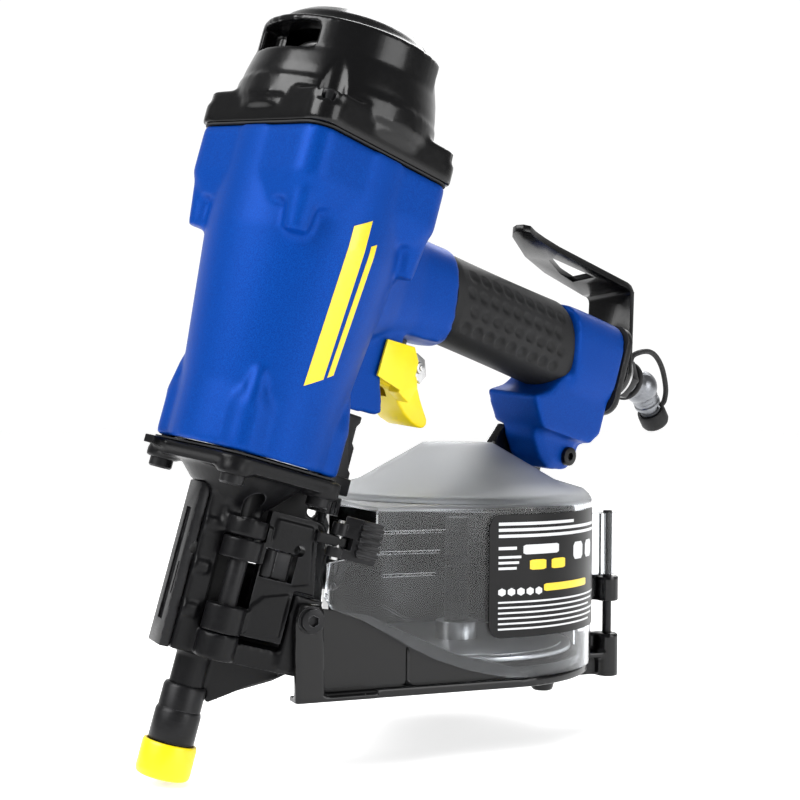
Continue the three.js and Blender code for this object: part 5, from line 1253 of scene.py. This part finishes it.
class NAILER_OT_rear(PieceOperator):
    """Build the end plate, the hanging hook and the air fittings"""
    bl_idname = "nailer.rear"
    bl_label = "Rear end"

    def build(self, settings):
        outline = rounded(17, 21, 8, 0, 206)
        plate = prism(outline, "X", 189.2, 192.4)
        made = to_object("end_cover", softened(plate, 0.6))
        carve(made, long_rod(8, 185, 196, 0, HANDLE_Z))
        hand_in(made, "housing", "black_steel", "end_plate")
        piece("hook_wave_washer", self.washer(8, 12.5, 192.7, 199.7, 4), "housing", "black_steel",
              "hook_spring_washer", bevel=0.3)
        piece("hook_plain_washer", self.washer(8, 11.5, 203.3, 205.1), "housing", "bright_steel", "hook_rear_washer",
              bevel=0.25)
        self.hook()
        self.fittings()

    def washer(self, inner, outer, x0, x1, grooves=0):
        profile = [(inner, x0), (outer, x0)]
        for k in range(grooves):
            at = x0 + (k + 0.5) * (x1 - x0) / grooves
            profile += [(outer, at - 0.4), (outer - 1.2, at), (outer, at + 0.4)]
        profile += [(outer, x1), (inner, x1)]
        turn = Matrix.Translation((0, 0, HANDLE_Z)) @ Matrix.Rotation(math.pi / 2, 4, "Y")
        return lathe(profile, 64, turn)

    def hook(self):
        top = HANDLE_Z + 42
        rear = HOOK_X + 3
        leg = together(block(HOOK_X, rear, -12, 12, HANDLE_Z, top - 3), long_rod(12, HOOK_X, rear, 0, HANDLE_Z, 64))
        bend = [(rear, top - 5.5), (rear - 0.7, top - 2.4), (rear - 2.6, top - 0.6), (rear - 5.5, top),
                (rear - 9, top), (rear - 9, top - 3), (rear - 5, top - 3), (rear - 3.4, top - 4), (rear - 3, top - 5.5)]
        corner = prism(bend, "Y", -12, 12)
        shape = [(rear - 8, -12), (rear - 8, 12), (rear - 43, 9), (rear - 64, 4), (rear - 86, -6), (rear - 89, -8.6),
                 (rear - 90.2, -11.5), (rear - 89, -14.4), (rear - 86, -16), (rear - 80, -14.2), (rear - 72, -13),
                 (rear - 60, -12)]
        arm = prism(shape, "Z", top - 3, top)
        slot = prism([(rear - 26, -7.5), (rear - 26, 5), (rear - 38, 3.5), (rear - 55, -2.5), (rear - 55, -5.5)], "Z",
                     top - 10, top + 10)
        made = united("hook_strap", leg, corner, arm)
        carve(made, slot, long_rod(8, HOOK_X - 1, rear + 1, 0, HANDLE_Z))
        made.data.transform(NAILER_OT_magazine.in_metres(LEAN))
        edge = made.modifiers.new("edge", "BEVEL")
        edge.width = 0.45 * MM
        edge.segments = 2
        edge.limit_method = "ANGLE"
        apply_modifiers(made)
        hand_in(made, "hook", "black_enamel", "hanging_hook")

    def fittings(self):
        hex_start = 205.4
        nut = long_rod(10.5, hex_start, hex_start + 7, 0, HANDLE_Z, 6)
        made = united("inlet_nut", long_rod(7.7, 182, hex_start + 1, 0, HANDLE_Z, 64), softened(nut, 0.5))
        carve(made, long_rod(5.5, 180, 214.5, 0, HANDLE_Z))
        hand_in(made, "housing", "black_steel", "inlet_bushing")
        neck = lathe([(0, 0), (6.5, 0), (6.5, 3), (5.6, 3.8), (5.6, 6.5), (6.5, 7.2), (6.5, ELBOW_X - 212.7), (0, ELBOW_X - 212.7)],
                     64, Matrix.Translation((212.7, 0, HANDLE_Z)) @ Matrix.Rotation(math.pi / 2, 4, "Y"))
        ball = bmesh.new()
        bmesh.ops.create_uvsphere(ball, u_segments=48, v_segments=32, radius=8.2)
        bmesh.ops.translate(ball, vec=(ELBOW_X, 0, HANDLE_Z), verts=ball.verts)
        stem = lathe([(0, 0), (6.4, 0), (6.4, 7), (5.9, 7.6), (5.9, 9), (6.4, 9.6), (6.4, 11), (4.4, 12), (4.4, 14.5),
                      (5, 15), (5, 20), (0, 20)], 64, DROP)
        made = united("swivel_plug", ball, neck, stem)
        carve(made, along(rod(2.5, 8, 21), DROP))
        hand_in(made, "air_plug", "plug_metal", "air_plug", slot="bright_steel")
        lid = lathe([(0, 21.2), (5.3, 21.2), (5.3, 15.5), (6.6, 15), (6.9, 17), (6.9, 22), (6.3, 23.4), (5.5, 24), (0, 24)],
                    64, DROP)
        piece("dust_lid", lid, "air_plug", "grip_rubber", "dust_cap", bevel=0.3)
        self.tether()

    def tether(self):
        loop_x = 215.9
        side = DROP @ Vector((-8.3, 0, 19))
        loop = bmesh.new()
        bmesh.ops.create_circle(loop, cap_ends=False, radius=1.3, segments=16)
        upright = Matrix.Translation((loop_x, 0, HANDLE_Z + 8.2)) @ Matrix.Rotation(math.pi / 2, 4, "X")
        bmesh.ops.transform(loop, matrix=upright, verts=loop.verts)
        bmesh.ops.spin(loop, geom=loop.verts[:] + loop.edges[:], cent=(0, 0, HANDLE_Z), axis=(1, 0, 0),
                       angle=2 * math.pi, steps=48, use_merge=True, use_duplicate=False)
        bmesh.ops.remove_doubles(loop, verts=loop.verts, dist=1e-4)
        bmesh.ops.recalc_face_normals(loop, faces=loop.faces)
        route = smooth_path([(loop_x, 0, HANDLE_Z + 8), (loop_x + 1, 0, 220), (226, 0, 224.5), (234, 0, 224.5),
                             (242, 0, 220), (248.5, 0, 212), (side.x + 1.5, 0, side.z + 3), side], 6)
        made = to_object("lid_tether", together(loop, tube_along(route, 1.3)))
        hand_in(made, "air_plug", "seal_rubber", "dust_cap_tether")


class NAILER_OT_decal(PieceOperator):
    """Build the plain yellow stripes on the barrel's left side"""
    bl_idname = "nailer.decal"
    bl_label = "Stripes"

    def build(self, settings):
        stripes = [self.stripe(-98, 3.6, 152, 212), self.stripe(-86.5, 1.3, 156, 206)]
        hand_in(to_object("barrel_stripes", together(*stripes)), "housing", "yellow_print", slot="yellow_plastic")

    def stripe(self, degrees, half, low, high):
        """A thin strip that follows the barrel's taper."""
        bm = bmesh.new()
        bmesh.ops.create_grid(bm, x_segments=8, y_segments=40, size=0.5)
        for vert in bm.verts:
            z = low + (high - low) * (vert.co.y + 0.5) + vert.co.x * half * 1.2
            radius = 31 + 6 * min(max((z - 145) / 57, 0), 1) + 0.12
            angle = math.radians(degrees) + vert.co.x * 2 * half / radius
            vert.co = (radius * math.cos(angle), radius * math.sin(angle), z)
        bmesh.ops.recalc_face_normals(bm, faces=bm.faces)
        bmesh.ops.solidify(bm, geom=bm.faces[:], thickness=0.2)
        bmesh.ops.recalc_face_normals(bm, faces=bm.faces)
        return bm


# ---------------------------------------------------------------- camera, floor and light
class NAILER_OT_stage(PieceOperator):
    """Set up the camera, the pale floor and the soft lights"""
    bl_idname = "nailer.stage"
    bl_label = "Stage"

    place = Vector((-365.36, -440.44, 100.35)) * MM
    turn = Vector((1.4761, -0.4009, 0.8320))
    focal = 1520.0

    def build(self, settings):
        rows = Matrix.Rotation(self.turn.length, 3, self.turn.normalized())
        right, down, ahead = rows[0], rows[1], rows[2]
        camera = bpy.data.cameras.new("camera")
        camera.lens = self.focal / 800 * camera.sensor_width
        camera.clip_start = 0.01
        camera.dof.use_dof = False
        viewer = bpy.data.objects.new("camera", camera)
        viewer.matrix_world = Matrix((
            (right.x, -down.x, -ahead.x, self.place.x), (right.y, -down.y, -ahead.y, self.place.y),
            (right.z, -down.z, -ahead.z, self.place.z), (0, 0, 0, 1)))
        bpy.context.scene.collection.objects.link(viewer)
        bpy.context.scene.camera = viewer
        self.floor(-down)
        self.lights(settings, right, -down, ahead)
        bpy.context.scene.view_settings.view_transform = "Standard"

    def floor(self, up):
        lowest = min((v.co.dot(up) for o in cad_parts.values() for v in o.data.vertices))
        bm = bmesh.new()
        bmesh.ops.create_grid(bm, x_segments=2, y_segments=2, size=6)
        turn = Vector((0, 0, 1)).rotation_difference(up).to_matrix().to_4x4()
        bmesh.ops.transform(bm, matrix=Matrix.Translation(up * (lowest - 0.0006)) @ turn, verts=bm.verts)
        floor = to_object("studio_floor", bm, 1.0)
        floor.data.materials.append(finish_named("floor_paper"))

    def backdrop(self, ahead):
        """A white screen behind the tool that fades to grey behind the camera."""
        world = bpy.data.worlds.new("studio")
        world.use_nodes = True
        tree = world.node_tree
        place = tree.nodes.new("ShaderNodeTexCoord")
        facing = tree.nodes.new("ShaderNodeVectorMath")
        facing.operation = "DOT_PRODUCT"
        facing.inputs[1].default_value = ahead
        fade = tree.nodes.new("ShaderNodeMapRange")
        fade.inputs["From Min"].default_value = 0.3
        fade.inputs["From Max"].default_value = 0.85
        fade.inputs["To Min"].default_value = 0.24
        fade.inputs["To Max"].default_value = 1.05
        tree.links.new(place.outputs["Generated"], facing.inputs[0])
        tree.links.new(facing.outputs["Value"], fade.inputs["Value"])
        background = tree.nodes["Background"]
        background.inputs["Color"].default_value = (1.0, 1.0, 1.0, 1.0)
        tree.links.new(fade.outputs["Result"], background.inputs["Strength"])
        bpy.context.scene.world = world

    def lights(self, settings, right, up, ahead):
        self.backdrop(ahead)
        centre = Vector((0.09, 0.0, 0.15))
        softboxes = (
            ("key", right * -0.9 + up * 0.9 - ahead * 0.7, 0.9, settings.key_power),
            ("fill", right * 1.1 + up * 0.25 - ahead * 0.8, 0.7, settings.key_power * 0.35),
            ("rim", right * 0.4 + up * 1.0 + ahead * 0.9, 0.8, settings.key_power * 0.6),
        )
        for name, away, size, power in softboxes:
            lamp = bpy.data.lights.new(name, "AREA")
            lamp.size = size
            lamp.energy = power
            holder = bpy.data.objects.new(name, lamp)
            holder.location = centre + away
            holder.rotation_euler = (-away).to_track_quat("-Z", "Y").to_euler()
            bpy.context.scene.collection.objects.link(holder)


class NAILER_PT_panel(bpy.types.Panel):
    bl_label = "Nailer"
    bl_idname = "NAILER_PT_panel"
    bl_space_type = "VIEW_3D"
    bl_region_type = "UI"
    bl_category = "Nailer"

    def draw(self, context):
        settings = context.scene.nailer
        for name in ("cast_grain", "cast_rounds", "edge_width", "floor_colour", "key_power"):
            self.layout.prop(settings, name)
        for operator in OPERATORS:
            self.layout.operator(operator.bl_idname)


OPERATORS = (
    NAILER_OT_housing, NAILER_OT_grip, NAILER_OT_cap, NAILER_OT_drive, NAILER_OT_nose, NAILER_OT_contact,
    NAILER_OT_door, NAILER_OT_feed, NAILER_OT_magazine, NAILER_OT_cover, NAILER_OT_trigger, NAILER_OT_rear,
    NAILER_OT_decal, NAILER_OT_stage,
)
CLASSES = (NailerSettings, *OPERATORS, NAILER_PT_panel)


def register():
    for item in CLASSES:
        bpy.utils.register_class(item)
    bpy.types.Scene.nailer = PointerProperty(type=NailerSettings)


def unregister():
    del bpy.types.Scene.nailer
    for item in reversed(CLASSES):
        bpy.utils.unregister_class(item)


def main():
    register()
    for operator in OPERATORS:
        group, name = operator.bl_idname.split(".")
        getattr(getattr(bpy.ops, group), name)()


if __name__ == "__main__":
    main()
